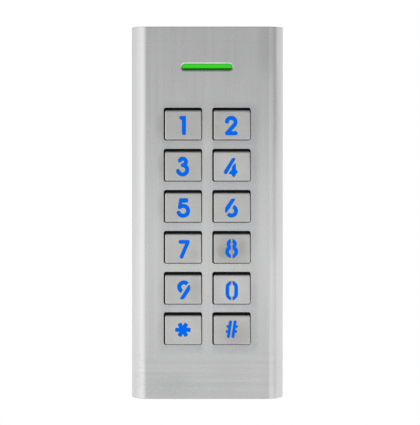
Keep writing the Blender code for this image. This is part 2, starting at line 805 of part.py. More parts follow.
def small_parts(parent):
    chip(parent)

    for n, x in ((1, -4.8), (2, 4.8)):
        led = Solid()
        block(led, x - 1.6, x + 1.6, LENS_Z - 0.8, LENS_Z + 0.8, 6.7, 8.0, 0.2)
        led.done(f"status_led_{n}", WHITE_PLASTIC, parent=parent)

    relay = Solid()
    block(relay, -15.2, -7.6, -45.0, -29.6, 9.9, 14.3, 0.4, False)
    relay.done("lock_relay", BLACK_PLASTIC, parent=parent)

    capacitor = Solid()
    rings = [
        capacitor.ring_3d(
            [(-13.6 + dx, 12.1 + dd - DEPTH, z) for dx, dd in circle(0, 0, r, 14)]
        )
        for r, z in ((1.6, -12.6), (2.0, -12.2), (2.0, -4.4), (1.6, -4.0))
    ]
    capacitor.loft(rings)
    capacitor.fill(rings[0], axes=(0, 1))
    capacitor.fill(rings[-1], axes=(0, 1))
    capacitor.done("supply_capacitor", STEEL, parent=parent, smooth=40)

    buzzer = Solid()
    shape = buzzer.loft(
        [
            buzzer.ring(circle(12.0, -5.5, r, 20), d)
            for r, d in ((4.4, 9.9), (4.4, 13.8), (4.1, 14.2))
        ]
    )
    port = buzzer.loft(
        [buzzer.ring(circle(12.0, -5.5, 0.9, 10), d) for d in (14.2, 12.6)]
    )
    buzzer.fill(shape[0])
    buzzer.fill(port[1])
    buzzer.fill(shape[-1], [port[0]])
    buzzer.done("buzzer", BLACK_PLASTIC, parent=parent, smooth=40)

    # A shrouded header for the reader's wires, open towards the wall
    header = Solid()
    shroud = [(-3.4, -40.0), (17.4, -40.0), (17.4, -34.0), (-3.4, -34.0)]
    well = [(-2.4, -39.1), (16.4, -39.1), (16.4, -34.9), (-2.4, -34.9)]
    low, high = header.ring(shroud, 9.9), header.ring(shroud, 14.2)
    rim, floor = header.ring(well, 14.2), header.ring(well, 11.0)
    header.wall(low, high)
    header.wall(rim, floor)
    header.fill(low)
    header.fill(high, [rim])
    pins = []
    for i in range(8):
        x = -1.75 + i * 2.5
        foot = [(x + dx, -37.0 + dz) for dx, dz in circle(0, 0, 0.42, 4)]
        base, tip = header.ring(foot, 11.0), header.ring(foot, 13.6)
        header.wall(base, tip)
        header.fill(tip)
        pins.append(base)
    header.fill(floor, pins)
    header.done("cable_connector", WHITE_PLASTIC, parent=parent)

    coil = Solid()
    loops = [
        coil.ring(rounded_rect(w, h, 3.0, 3, 0.0, 26.5), d)
        for w, h, d in (
            (14.3, 15.6, 10.0),
            (14.3, 15.6, 11.4),
            (12.1, 13.4, 11.4),
            (12.1, 13.4, 10.0),
        )
    ]
    coil.loft(loops)
    coil.wall(loops[-1], loops[0])
    coil.done("antenna_coil", COPPER, parent=parent, smooth=40)

    sensor = Solid()
    block(sensor, -1.7, 1.7, TAMPER_Z - 1.5, TAMPER_Z + 1.5, 9.9, 13.6, 0.5, False)
    sensor.done("tamper_sensor", BLACK_PLASTIC, parent=parent)


def rear_cover(parent):
    cover = Solid()
    edge = rounded_rect(COVER_HALF_W, COVER_HALF_H, 1.8, 2)
    front, back = cover.ring(edge, COVER_FRONT), cover.ring(edge, COVER_BACK)
    cover.wall(front, back)
    in_front, behind = [], []
    for x, z in COVER_SCREWS:
        a, b, c, d = cover.loft(
            [
                cover.ring(circle(x, z, r, 12), depth)
                for r, depth in (
                    (1.3, COVER_FRONT),
                    (1.3, 15.8),
                    (2.5, 15.8),
                    (2.5, COVER_BACK),
                )
            ]
        )
        in_front.append(a)
        behind.append(d)
    for x, z, r in ((0.0, CABLE_Z, 4.8), (0.0, TAMPER_Z, 2.8)):
        a, b = (cover.ring(circle(x, z, r, 16), d) for d in (COVER_FRONT, COVER_BACK))
        cover.wall(a, b)
        in_front.append(a)
        behind.append(b)
    # Shallow relief that the wall plate's screw tab reaches into
    relief = [(-8.0, -67.9), (8.0, -67.9), (8.0, -65.4), (-8.0, -65.4)]
    rim, floor = cover.ring(relief, COVER_BACK), cover.ring(relief, 15.8)
    cover.wall(rim, floor)
    cover.fill(floor)
    behind.append(rim)
    cover.fill(front, in_front)
    cover.fill(back, behind)
    cover.done("rear_cover", BLACK_PLASTIC, parent=parent, smooth=40)

    gasket = Solid()
    loops = [
        gasket.ring(rounded_rect(w, h, r, 2), d)
        for w, h, r, d in (
            (26.3, 68.1, 1.8, 14.2),
            (26.3, 68.1, 1.8, 14.8),
            (25.4, 67.2, 0.9, 14.8),
            (25.4, 67.2, 0.9, 14.2),
        )
    ]
    gasket.loft(loops)
    gasket.wall(loops[-1], loops[0])
    gasket.done("cover_gasket", RUBBER, parent=parent, smooth=40)

    grommet = Solid()
    turned(
        grommet,
        0.0,
        CABLE_Z,
        (
            (CABLE_BORE_R, 13.3),
            (6.0, 13.3),
            (6.2, 13.6),
            (6.2, 14.7),
            (4.5, 14.7),
            (4.5, 17.3),
            (6.2, 17.3),
            (6.2, 18.3),
            (5.4, 19.0),
            (CABLE_BORE_R, 19.0),
        ),
        16,
        cap_ends=False,
    )
    grommet.done("cable_grommet", RUBBER, parent=parent, smooth=40)

    window = Solid()
    turned(
        window,
        0.0,
        TAMPER_Z,
        ((2.2, 14.2), (2.5, 14.4), (2.5, 17.1), (2.1, 17.3)),
        14,
    )
    window.done("tamper_window", CLEAR, parent=parent, smooth=40)


def wall_plate(parent):
    plate = Solid()
    edge = rounded_rect(
        PLATE_HALF_W,
        (PLATE_TOP - PLATE_BOTTOM) / 2,
        1.6,
        2,
        0.0,
        (PLATE_TOP + PLATE_BOTTOM) / 2,
    )
    front, back = plate.ring(edge, PLATE_FRONT), plate.ring(edge, PLATE_BACK)
    plate.wall(front, back)
    holes = [circle(0.0, CABLE_Z, PLATE_WINDOW_R, 24)]
    for z in (SLOT_Z, -SLOT_Z):
        holes.append(slot(SLOT_W / 2, SLOT_L / 2, 4, 0.0, z))
    for x in (-18.0, 18.0):
        for z in (-55.0, 55.0):
            holes.append(circle(x, z, 1.75, 12))
    in_front, behind = [], []
    for hole in holes:
        a, b = plate.ring(hole, PLATE_FRONT), plate.ring(hole, PLATE_BACK)
        plate.wall(a, b)
        in_front.append(a)
        behind.append(b)
    plate.fill(front, in_front)
    plate.fill(back, behind)
    made = plate.done("wall_plate", STEEL, parent=parent)

    # Two bent hooks at the top, one bent screw tab at the bottom
    bent = Solid()
    for side in (-1, 1):
        x0, x1 = side * HOOK_X - HOOK_W / 2, side * HOOK_X + HOOK_W / 2
        profile = (
            (21.4, 66.4),
            (18.3, 66.4),
            (18.3, 69.5),
            (19.5, 69.5),
            (19.5, 67.9),
            (21.4, 67.9),
        )
        ends = [
            bent.ring_3d([(x, d - DEPTH, z) for d, z in profile]) for x in (x0, x1)
        ]
        bent.wall(*ends)
        for end in ends:
            bent.fill(end, axes=(1, 2))
    boolean(made, cutter(bent, "hook_tool"), "UNION")

    tab = Solid()
    outline = [
        (-6.0, 21.4),
        (-6.0, 17.3),
        (-4.8, 16.15),
        (4.8, 16.15),
        (6.0, 17.3),
        (6.0, 21.4),
    ]
    y = SECURITY_DEPTH - DEPTH
    bore = circle(0.0, 0.0, 1.5, 12)
    ends, bores = [], []
    for z in (PLATE_BOTTOM + 0.1, PLATE_BOTTOM + 1.6):
        ends.append(tab.ring_3d([(x, d - DEPTH, z) for x, d in outline]))
        bores.append(tab.ring_3d([(x, y + dy, z) for x, dy in bore]))
        tab.fill(ends[-1], [bores[-1]], axes=(0, 1))
    tab.wall(*ends)
    tab.wall(*bores)
    boolean(made, cutter(tab, "tab_tool"), "UNION")

    screw = Solid()
    rings = [
        screw.ring_3d([(x, y + dy, z) for x, dy in circle(0.0, 0.0, r, 12)])
        for r, z in (
            (2.1, -70.7),
            (2.3, -70.45),
            (2.3, -69.85),
            (1.2, -69.85),
            (1.2, -64.5),
            (0.8, -64.0),
        )
    ]
    screw.loft(rings)
    socket = [
        screw.ring_3d([(x, y + dy, z) for x, dy in circle(0.0, 0.0, 1.0, 6)])
        for z in (-70.7, -70.15)
    ]
    screw.wall(*socket)
    screw.fill(socket[1], axes=(0, 1))
    screw.fill(rings[0], [socket[0]], axes=(0, 1))
    screw.fill(rings[-1], axes=(0, 1))
    screw.done("security_screw", SCREW_STEEL, parent=parent, smooth=40)


# ---------------------------------------------------------------- assembly


def empty(name, at=(0.0, 0.0, 0.0), parent=None):
    obj = bpy.data.objects.new(name, None)
    bpy.context.scene.collection.objects.link(obj)
    obj.empty_display_size = 0.005
    obj.location = at
    obj.parent = parent
    return obj


def main():
    for obj in list(bpy.data.objects):
        bpy.data.objects.remove(obj, do_unlink=True)
    reader = empty("reader")
    front_housing(reader)
    for name, x, z in key_centres():
        slide = empty(f"slide_{name}", (x * MM, -DEPTH * MM, z * MM), reader)
        loops = character(name)
        key_cap(f"key_{name}", x, z, loops, slide)
        key_legend(f"legend_{name}", x, z, loops, slide)
    status_lens(reader)
    key_mat(reader)
    circuit_board(reader)
    small_parts(reader)
    for n, (x, z) in enumerate(BOARD_SCREWS, 1):
        machine_screw(f"board_screw_{n}", x, z, (1.9, 9.95, 11.2), 0.8, 4.2, reader)
    rear_cover(reader)
    for n, (x, z) in enumerate(COVER_SCREWS, 1):
        machine_screw(f"cover_screw_{n}", x, z, (2.1, 16.1, 17.3), 1.0, 6.0, reader)
    wall_plate(reader)


main()
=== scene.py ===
"""Keypad access reader: fine surfaces, finishes, studio light and camera.

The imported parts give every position. Lengths below are in millimetres, and a depth is
measured from the housing's front face towards the wall. Meshes are made in metres.
"""

import math

import bmesh
import bpy
from mathutils import Matrix, Vector
from mathutils.geometry import delaunay_2d_cdt

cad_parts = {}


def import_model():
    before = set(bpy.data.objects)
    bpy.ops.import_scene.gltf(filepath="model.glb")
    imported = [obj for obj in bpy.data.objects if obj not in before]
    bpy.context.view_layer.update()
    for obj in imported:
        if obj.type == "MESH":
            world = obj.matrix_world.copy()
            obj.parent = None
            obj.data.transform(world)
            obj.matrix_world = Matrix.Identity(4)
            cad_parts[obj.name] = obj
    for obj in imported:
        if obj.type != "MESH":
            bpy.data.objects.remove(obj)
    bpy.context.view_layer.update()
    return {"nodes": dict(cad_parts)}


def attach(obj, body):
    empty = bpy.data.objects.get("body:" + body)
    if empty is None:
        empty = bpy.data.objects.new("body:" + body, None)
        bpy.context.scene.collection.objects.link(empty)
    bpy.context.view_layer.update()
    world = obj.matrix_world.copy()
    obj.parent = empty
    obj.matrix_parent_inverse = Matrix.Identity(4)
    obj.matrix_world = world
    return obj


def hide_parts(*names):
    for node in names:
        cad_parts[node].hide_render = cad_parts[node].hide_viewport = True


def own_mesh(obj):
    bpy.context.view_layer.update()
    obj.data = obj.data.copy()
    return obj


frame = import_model()

MM = 0.001

WIDTH, HEIGHT, DEPTH = 58.0, 141.6, 22.5
HALF_W, HALF_H = WIDTH / 2, HEIGHT / 2
FLAT_HALF_W, FLANK_DEPTH, RIM_DEPTH = 23.0, 16.0, 22.0
END_ROUND, FRONT_WALL = 0.12, 2.5
LIP = 0.15

KEY_PITCH_X, KEY_PITCH_Z = 18.48, 15.55
ROW_1_Z = HALF_H - 37.5
KEY_W, KEY_H, KEY_R, KEY_SHIFT = 13.79, 11.1, 0.6, 0.085
KEY_PROUD, KEY_WALL, KEY_EDGE = 1.6, 1.0, 0.42
OPENING_W, OPENING_H, OPENING_R = 14.48, 12.30, 0.8
OPENING_SHIFT, OPENING_LIFT = -0.06, 0.45
ROW_DROP = (-0.08, 0.0, 0.10, 0.12, 0.14, -0.04)
FLANGE_W, FLANGE_H, FLANGE_FRONT, FLANGE_BACK = 16.2, 14.4, 2.8, 3.8
LEGEND_SCALE, STENCIL_GAP, STENCIL_SOFT = 0.983, 0.08, 0.05

LEGEND_DROP = {"1": 0.0, "3": 0.05, "4": 0.28, "9": 0.22, "0": 0.20, "star": 0.0, "hash": 0.0}

LENS_Z, LENS_W, LENS_H = HALF_H - 15.4, 19.0, 1.84
LENS_SHIFT, LENS_LIFT, LENS_PROUD = -0.13, 0.34, 0.06
SLOT_W, SLOT_H, SLOT_LIFT, SLOT_RIM, SLOT_DISH = 19.2, 2.32, 0.10, 0.50, 0.12

MAT_FRONT, MAT_BACK = 6.8, 7.8
MAT_HALF_W, MAT_TOP, MAT_BOTTOM = 18.2, 41.3, -52.4
DOME_BASE_R, DOME_TOP_R, DOME_TOP = 4.0, 2.2, 4.1
LIGHT_SHIFT = 5.6
BOARD_SCREWS = ((-16.6, 46.5), (16.6, 46.5), (-16.6, -56.0), (16.6, -56.0))
COVER_SCREWS = ((-20.0, 63.4), (20.0, 63.4), (-20.0, -63.4), (20.0, -63.4))
CABLE_Z, CABLE_BORE_R, TAMPER_Z = -22.0, 3.3, -50.0
HOOK_X, HOOK_W, SECURITY_DEPTH = 12.0, 6.0, 18.6
KEY_NAMES = ("1", "2", "3", "4", "5", "6", "7", "8", "9", "0", "star", "hash")


# ---------------------------------------------------------------- outlines


def arc(cx, cz, radius, start, end, steps):
    return [
        (
            cx + radius * math.cos(math.radians(start + (end - start) * i / steps)),
            cz + radius * math.sin(math.radians(start + (end - start) * i / steps)),
        )
        for i in range(steps + 1)
    ]


def circle(cx, cz, radius, steps=48):
    return arc(cx, cz, radius, 0.0, 360.0 * (steps - 1) / steps, steps - 1)


def rounded_rect(half_w, half_h, radius, steps=7, cx=0.0, cz=0.0):
    x, z = half_w - radius, half_h - radius
    corners = ((x, -z, -90), (x, z, 0), (-x, z, 90), (-x, -z, 180))
    return [
        point
        for px, pz, start in corners
        for point in arc(cx + px, cz + pz, radius, start, start + 90, steps)
    ]


def slot(half_w, half_h, steps=12, cx=0.0, cz=0.0):
    return rounded_rect(half_w, half_h, min(half_w, half_h) - 1e-4, steps, cx, cz)


def softened(points, radius, steps=5):
    """A polygon with each corner replaced by a short curve."""
    out = []
    count = len(points)
    for i, point in enumerate(points):
        here = Vector(point)
        before, after = Vector(points[i - 1]), Vector(points[(i + 1) % count])
        a = here + (before - here).normalized() * min(
            radius, (before - here).length * 0.45
        )
        b = here + (after - here).normalized() * min(
            radius, (after - here).length * 0.45
        )
        for k in range(steps + 1):
            t = k / steps
            out.append(tuple((1 - t) ** 2 * a + 2 * t * (1 - t) * here + t * t * b))
    return out


def stroke(path, half_width, steps=10):
    """The outline of a round-ended pen stroke along a path."""
    points = [Vector(p) for p in path]
    count = len(points)
    sides = []
    for i in range(count):
        ahead = (points[min(i + 1, count - 1)] - points[max(i - 1, 0)]).normalized()
        sides.append(Vector((-ahead.y, ahead.x)) * half_width)
    out = [p - s for p, s in zip(points, sides)]
    for tip, side in ((points[-1], sides[-1]), (points[0], -sides[0])):
        ahead = Vector((side.y, -side.x))
        if tip is points[0]:
            out += [p + s for p, s in reversed(list(zip(points, sides)))]
        for k in range(1, steps):
            angle = math.pi * k / steps
            out.append(tip - side * math.cos(angle) + ahead * math.sin(angle))
    return [tuple(p) for p in out]


def area(loop):
    return 0.5 * sum(
        a[0] * b[1] - b[0] * a[1] for a, b in zip(loop, loop[1:] + loop[:1])
    )


def merged(polygons):
    """The outer loops of the union of overlapping polygons."""
    points, faces = [], []
    for polygon in polygons:
        polygon = polygon if area(polygon) > 0 else polygon[::-1]
        faces.append(list(range(len(points), len(points) + len(polygon))))
        points += [Vector(p) for p in polygon]
    verts, _, tris, _, _, inside = delaunay_2d_cdt(points, [], faces, 1, 1e-5)
    border = {}
    for tri, owners in zip(tris, inside):
        if owners:
            for i, a in enumerate(tri):
                border[(a, tri[(i + 1) % len(tri)])] = True
    following = {a: b for a, b in border if (b, a) not in border}
    loops = []
    while following:
        first = next(iter(following))
        loop, at = [], first
        while at in following:
            loop.append(at)
            at = following.pop(at)
        loops.append([tuple(verts[i]) for i in loop])
    return [tidy(loop) for loop in loops if area(loop) > 0.05]


def tidy(loop, least=0.06):
    kept = []
    for point in loop:
        if not kept or math.dist(point, kept[-1]) > least:
            kept.append(point)
    if math.dist(kept[0], kept[-1]) <= least:
        kept.pop()
    count = len(kept)
    return [
        p
        for i, p in enumerate(kept)
        if abs(area([kept[i - 1], p, kept[(i + 1) % count]])) > 1e-5
    ]


def inset(loop, distance):
    """A counterclockwise loop moved inwards (or outwards, if negative)."""
    out = []
    count = len(loop)
    for i, point in enumerate(loop):
        here = Vector(point)
        a = (here - Vector(loop[i - 1])).normalized()
        b = (Vector(loop[(i + 1) % count]) - here).normalized()
        inward = (Vector((-a.y, a.x)) + Vector((-b.y, b.x))).normalized()
        shift = distance / max(0.6, inward.dot(Vector((-a.y, a.x))))
        out.append(tuple(here + inward * shift))
    return out


def shrunk(loop, distance, least=0.06):
    """A loop moved inwards, without the points that a tight corner would fold over."""
    edges = list(zip(loop, loop[1:] + loop[:1]))

    def away(p):
        best = 1e9
        for a, b in edges:
            run = (b[0] - a[0], b[1] - a[1])
            long = run[0] ** 2 + run[1] ** 2
            t = ((p[0] - a[0]) * run[0] + (p[1] - a[1]) * run[1]) / long
            t = min(1.0, max(0.0, t))
            best = min(best, math.dist(p, (a[0] + t * run[0], a[1] + t * run[1])))
        return best

    return tidy([p for p in inset(loop, distance) if away(p) > distance * 0.96], least)


# ---------------------------------------------------------------- characters
PEN = 0.74


def mirrored(points):
    return [(-x, z) for x, z in reversed(points)]


def half_eight():
    top, low, edge = 1.76, -1.20, -0.36
    return (
        arc(0, top, 1.93, 101.0, 214.5, 16)
        + arc(0, low, 2.45, 130.4, 261.3, 20)
        + arc(0, low - 0.10, 1.07, 250.3, 109.7, 14)
        + arc(0, top, 0.60, 233.1, 126.9, 9)
    )


def half_nought():
    outer = [
        (-0.36, 3.66), (-0.80, 3.58), (-1.30, 3.24), (-2.05, 2.46), (-2.36, 1.70),
        (-2.36, -1.72), (-2.05, -2.52), (-1.28, -3.32), (-0.80, -3.62), (-0.36, -3.70),
    ]  # fmt: skip
    inner = [
        (-0.36, -2.50), (-0.82, -2.14), (-1.02, -1.78), (-1.02, -1.20),
        (-1.02, 1.10), (-1.02, 1.64), (-0.82, 1.98), (-0.36, 2.34),
    ]  # fmt: skip
    return smoothed_run(outer) + smoothed_run(inner)


def smoothed_run(points, steps=4):
    """An open run whose inner corners are rounded."""
    out = [points[0]]
    for before, here, after in zip(points, points[1:], points[2:]):
        b, h, a = Vector(before), Vector(here), Vector(after)
        p = h + (b - h) * 0.42
        q = h + (a - h) * 0.42
        for k in range(steps + 1):
            t = k / steps
            out.append(tuple((1 - t) ** 2 * p + 2 * t * (1 - t) * h + t * t * q))
    return out + [points[-1]]


def six():
    cx, cz, mid = -0.09, -1.26, 1.77
    sweep = [
        (0.11, 3.47), (-0.22, 3.24), (-2.31, 0.22), (-2.60, -0.89), (-2.48, -1.80),
        (-2.11, -2.09), (-1.74, -1.63), (1.34, 3.12), (1.18, 3.48),
    ]  # fmt: skip
    bowl = arc(cx, cz, mid + PEN, -138, 66, 28) + arc(cx, cz, mid - PEN, 70, -144, 20)
    return [softened(sweep, 0.35), bowl]


def character(name):
    """The outlines of one stencil character about its key's centre."""
    if name == "1":
        flag = [
            (-1.42, 2.86), (-1.00, 2.22), (-0.39, 2.05), (-0.39, 1.50),
            (1.13, 1.50), (1.13, 3.62), (-1.16, 3.60),
        ]  # fmt: skip
        shapes = [stroke([(0.37, 2.0), (0.37, -2.96)], 0.76), softened(flag, 0.3)]
    elif name == "2":
        shapes = [
            stroke(arc(-0.17, 1.40, 1.65, 175, -38, 24) + [(-1.75, -2.85)], PEN),
            stroke([(-1.78, -2.90), (1.52, -2.90)], 0.75),
        ]
    elif name == "3":
        shapes = [
            stroke(arc(-0.10, 1.77, 1.23, 155, -58, 20), PEN),
            stroke(arc(-0.17, -1.28, 1.80, 66, -165, 26), PEN),
            stroke([(-0.10, 0.45), (0.75, 0.45)], 0.71),
        ]
    elif name == "4":
        slash = [
            (0.52, 3.50), (0.02, 3.18), (-2.78, -1.31), (-2.98, -1.80),
            (-2.93, -2.34), (-2.59, -2.68), (-2.04, -2.71), (-1.70, -2.34),
            (1.31, 2.88), (1.40, 3.28), (1.06, 3.52),
        ]  # fmt: skip
        cross = [
            (1.43, 1.65), (0.07, -0.05), (0.07, -1.11), (-0.34, -1.31),
            (-1.11, -2.49), (-0.96, -2.74), (0.0, -2.76), (0.27, -3.52),
            (0.81, -3.87), (1.33, -3.47), (1.60, -2.66), (2.00, -2.46),
            (2.29, -1.85), (2.00, -1.23), (1.60, -1.06), (1.60, 1.06),
        ]  # fmt: skip
        shapes = [softened(slash, 0.3), softened(cross, 0.25)]
    elif name == "5":
        bar = [(-1.47, 3.62), (-1.10, 2.02), (1.97, 2.02), (1.97, 3.62)]
        stem = [
            (-1.42, 3.20), (-1.97, 0.00), (-1.84, -0.38), (-0.99, -0.62),
            (-0.60, -0.30), (-0.25, 2.30), (-0.30, 3.20),
        ]  # fmt: skip
        shapes = [
            softened(bar, 0.4),
            softened(stem, 0.25),
            stroke(arc(0.07, -1.23, 1.90, 112, -158, 30), PEN),
        ]
    elif name == "6":
        shapes = six()
    elif name == "7":
        shapes = [
            stroke([(-0.98, 2.60), (1.82, 2.60)], 0.70),
            stroke([(1.88, 2.54), (-0.55, -3.15)], 0.68),
        ]
    elif name == "8":
        shapes = [half_eight(), mirrored(half_eight())]
    elif name == "9":
        shapes = [[(0.22 - x, -0.20 - z) for x, z in shape] for shape in six()]
    elif name == "0":
        shapes = [
            [(x + 0.05, z - 0.34) for x, z in shape]
            for shape in (half_nought(), mirrored(half_nought()))
        ]
    elif name == "star":
        shapes = []
        for angle, reach in ((0, 2.94), (60, 2.80), (120, 2.80)):
            turn, lean = math.cos(math.radians(angle)), math.sin(math.radians(angle))
            bar = [(-reach, -0.77), (reach, -0.77), (reach, 0.77), (-reach, 0.77)]
            shapes.append(
                [
                    (x * turn - z * lean - 0.05, x * lean + z * turn + 0.10)
                    for x, z in softened(bar, 0.45)
                ]
            )
    else:
        shapes = []
        for top_x, side in ((-0.44, -1), (1.33, 1)):
            low_x = top_x - 0.82
            shapes.append(stroke([(low_x, -2.47), (top_x, 3.16)], 0.54))
            for z in (1.38, -0.57):
                x = low_x + (top_x - low_x) * (z + 2.49) / 5.67
                shapes.append(stroke([(x, z), (x + side * 0.78, z)], 0.50))
    drop = LEGEND_DROP.get(name, 0.14)
    return [
        [(x * LEGEND_SCALE, z * LEGEND_SCALE - drop) for x, z in loop]
        for loop in merged(shapes)
    ]


# ---------------------------------------------------------------- meshes


class Solid:
    """Builds one closed mesh from rings, walls between them and flat faces."""

    def __init__(self):
        self.bm = bmesh.new()
        self.look = 0

    def ring(self, outline, depth):
        return [
            self.bm.verts.new((x * MM, (depth - DEPTH) * MM, z * MM))
            for x, z in outline
        ]

    def ring_3d(self, points):
        return [self.bm.verts.new((x * MM, y * MM, z * MM)) for x, y, z in points]

    def face(self, verts):
        self.bm.faces.new(verts).material_index = self.look

    def wall(self, a, b):
        for i in range(len(a)):
            j = (i + 1) % len(a)
            self.face((a[i], a[j], b[j], b[i]))

    def loft(self, rings):
        for a, b in zip(rings, rings[1:]):
            self.wall(a, b)
        return rings

    def fill(self, outer, holes=(), axes=(0, 2)):
        loops = [outer, *holes]
        verts = [v for loop in loops for v in loop]
        flat = [Vector((v.co[axes[0]], v.co[axes[1]])) / MM for v in verts]
        faces, at = [], 0
        for loop in loops:
            index = list(range(at, at + len(loop)))
            at += len(loop)
            if area([tuple(flat[i]) for i in index]) < 0:
                index.reverse()
            faces.append(index)
        _, _, tris, origin, _, inside = delaunay_2d_cdt(flat, [], faces, 1, 1e-7)
        for tri, owners in zip(tris, inside):
            if owners == [0]:
                self.face([verts[origin[i][0]] for i in tri])

    def done(self, name, *looks, smooth=35):
        bmesh.ops.recalc_face_normals(self.bm, faces=self.bm.faces[:])
        mesh = bpy.data.meshes.new(name)
        self.bm.to_mesh(mesh)
        self.bm.free()
        obj = bpy.data.objects.new(name, mesh)
        bpy.context.scene.collection.objects.link(obj)
        for look in looks:
            mesh.materials.append(look)
        finish_shading(mesh, smooth)
        return obj


def finish_shading(mesh, angle):
    mesh.shade_smooth()
    mesh.set_sharp_from_angle(angle=math.radians(angle))


def prism(solid, outline, front, back):
    a, b = solid.ring(outline, front), solid.ring(outline, back)
    solid.wall(a, b)
    solid.fill(a)
    solid.fill(b)


def turned(solid, cx, cz, profile, steps=48, cap_ends=True):
    rings = [solid.ring(circle(cx, cz, r, steps), d) for r, d in profile]
    solid.loft(rings)
    if cap_ends:
        solid.fill(rings[0])
        solid.fill(rings[-1])
    else:
        solid.wall(rings[-1], rings[0])
    return rings


def block(solid, x0, x1, z0, z1, front, back):
    outline = [(x0, z0), (x1, z0), (x1, z1), (x0, z1)]
    prism(solid, outline, front, back)


def combine(target, solid, operation, smooth=35):
    """Adds or cuts a second solid, and keeps the result as the target's own mesh."""
    tool = solid.done("tool")
    modifier = target.modifiers.new("combine", "BOOLEAN")
    modifier.operation = operation
    modifier.solver = "EXACT"
    modifier.object = tool
    bpy.context.view_layer.update()
    graph = bpy.context.evaluated_depsgraph_get()
    mesh = bpy.data.meshes.new_from_object(target.evaluated_get(graph))
    target.modifiers.clear()
    target.data = mesh
    bpy.data.objects.remove(tool, do_unlink=True)
    finish_shading(mesh, smooth)


def quarter(steps):
    """Sines and cosines from 0 to 90 degrees."""
    for i in range(steps + 1):
        turn = math.radians(90.0 * i / steps)
        yield math.sin(turn), math.cos(turn)


def row_drop(z):
    """How far the row nearest a height sits below its even spacing."""
    return ROW_DROP[round((ROW_1_Z - z) / KEY_PITCH_Z)]


def key_centres():
    for i, name in enumerate(KEY_NAMES):
        x = (-0.5 if i % 2 == 0 else 0.5) * KEY_PITCH_X
        yield name, x, ROW_1_Z - (i // 2) * KEY_PITCH_Z


# ---------------------------------------------------------------- node helpers


def node(tree, kind, inputs=None, **settings):
    made = tree.nodes.new("ShaderNode" + kind)
    for key, value in settings.items():
        setattr(made, key, value)
    for key, value in (inputs or {}).items():
        put(tree, made.inputs[key], value)
    return made


def put(tree, socket, value):
    if isinstance(value, bpy.types.NodeSocket):
        tree.links.new(value, socket)
    else:
        socket.default_value = value


def calc(tree, operation, *values, clamp=False):
    made = node(tree, "Math", operation=operation, use_clamp=clamp)
    for socket, value in zip(made.inputs, values):
        put(tree, socket, value)
    return made.outputs[0]


def remap(tree, value, low, high, to_low=0.0, to_high=1.0, smooth=True):
    made = node(
        tree,
        "MapRange",
        {
            "Value": value,
            "From Min": low,
            "From Max": high,
            "To Min": to_low,
            "To Max": to_high,
        },
        interpolation_type="SMOOTHSTEP" if smooth else "LINEAR",
    )
    return made.outputs[0]


def mix_colour(tree, factor, a, b, blend="MIX"):
    made = node(tree, "Mix", data_type="RGBA", blend_type=blend)
    put(tree, made.inputs["Factor"], factor)
    put(tree, made.inputs["A"], a)
    put(tree, made.inputs["B"], b)
    return made.outputs["Result"]


def material(name, colour, roughness, metallic=0.0, **sockets):
    mat = bpy.data.materials.new(name)
    mat.use_nodes = True
    tree = mat.node_tree
    shader = tree.nodes["Principled BSDF"]
    shader.inputs["Base Color"].default_value = (*colour, 1.0)
    shader.inputs["Roughness"].default_value = roughness
    shader.inputs["Metallic"].default_value = metallic
    for key, value in sockets.items():
        shader.inputs[key.replace("_", " ")].default_value = value
    mat.diffuse_color = (*colour, 1.0)
    return mat, tree, shader


def place(tree):
    """The point on the object, in metres of the row frame."""
    return node(tree, "TexCoord").outputs["Object"]


def noise(tree, point, scale, detail=2.0, roughness=0.5):
    """Noise whose scale is per metre, one number or one for each axis."""
    if isinstance(scale, (int, float)):
        scale = (scale, scale, scale)
    stretched = node(
        tree, "Mapping", {"Vector": point, "Scale": scale}, vector_type="POINT"
    )
    made = node(
        tree,
        "TexNoise",
        {
            "Vector": stretched.outputs[0],
            "Scale": 1.0,
            "Detail": detail,
            "Roughness": roughness,
        },
        noise_dimensions="3D",
    )
    return made.outputs[0]


def about(tree, value, amount):
    """Noise turned into a factor about 1: 1 - amount to 1 + amount."""
    return remap(tree, value, 0.25, 0.75, 1.0 - amount, 1.0 + amount, smooth=False)


def shaded(tree, colour, *factors):
    """A colour times any number of grey factors."""
    out = colour
    for factor in factors:
        grey = node(tree, "CombineColor", {"Red": factor, "Green": factor, "Blue": factor})
        out = mix_colour(tree, 1.0, out, grey.outputs[0], "MULTIPLY")
    return out


def bumped(tree, shader, height, strength, distance):
    made = node(
        tree,
        "Bump",
        {"Strength": strength, "Distance": distance, "Height": height},
    )
    put(tree, shader.inputs["Normal"], made.outputs[0])


# ---------------------------------------------------------------- finishes


def near_keys(tree, x, z, reach, shift_x=0.0, shift_z=0.0):
    """1 at the edge of a key's opening, fading to 0 at a distance from it."""
    x = calc(tree, "SUBTRACT", x, shift_x * MM)
    z = calc(tree, "SUBTRACT", z, (shift_z + OPENING_LIFT) * MM)
    row = calc(tree, "DIVIDE", calc(tree, "SUBTRACT", ROW_1_Z * MM, z), KEY_PITCH_Z * MM)
    row = calc(tree, "ROUND", calc(tree, "MINIMUM", calc(tree, "MAXIMUM", row, 0.0), 5.0))
    centre = calc(
        tree, "SUBTRACT", ROW_1_Z * MM, calc(tree, "MULTIPLY", row, KEY_PITCH_Z * MM)
    )
    off_z = calc(tree, "ABSOLUTE", calc(tree, "SUBTRACT", z, centre))
    off_x = calc(
        tree,
        "ABSOLUTE",
        calc(tree, "SUBTRACT", calc(tree, "ABSOLUTE", x), KEY_PITCH_X / 2 * MM),
    )
    off_z = calc(tree, "MAXIMUM", calc(tree, "SUBTRACT", off_z, OPENING_H / 2 * MM), 0.0)
    off_x = calc(tree, "MAXIMUM", calc(tree, "SUBTRACT", off_x, OPENING_W / 2 * MM), 0.0)
    away = calc(
        tree,
        "SQRT",
        calc(
            tree,
            "ADD",
            calc(tree, "MULTIPLY", off_x, off_x),
            calc(tree, "MULTIPLY", off_z, off_z),
        ),
    )
    return remap(tree, away, 0.0, reach * MM, 1.0, 0.0)


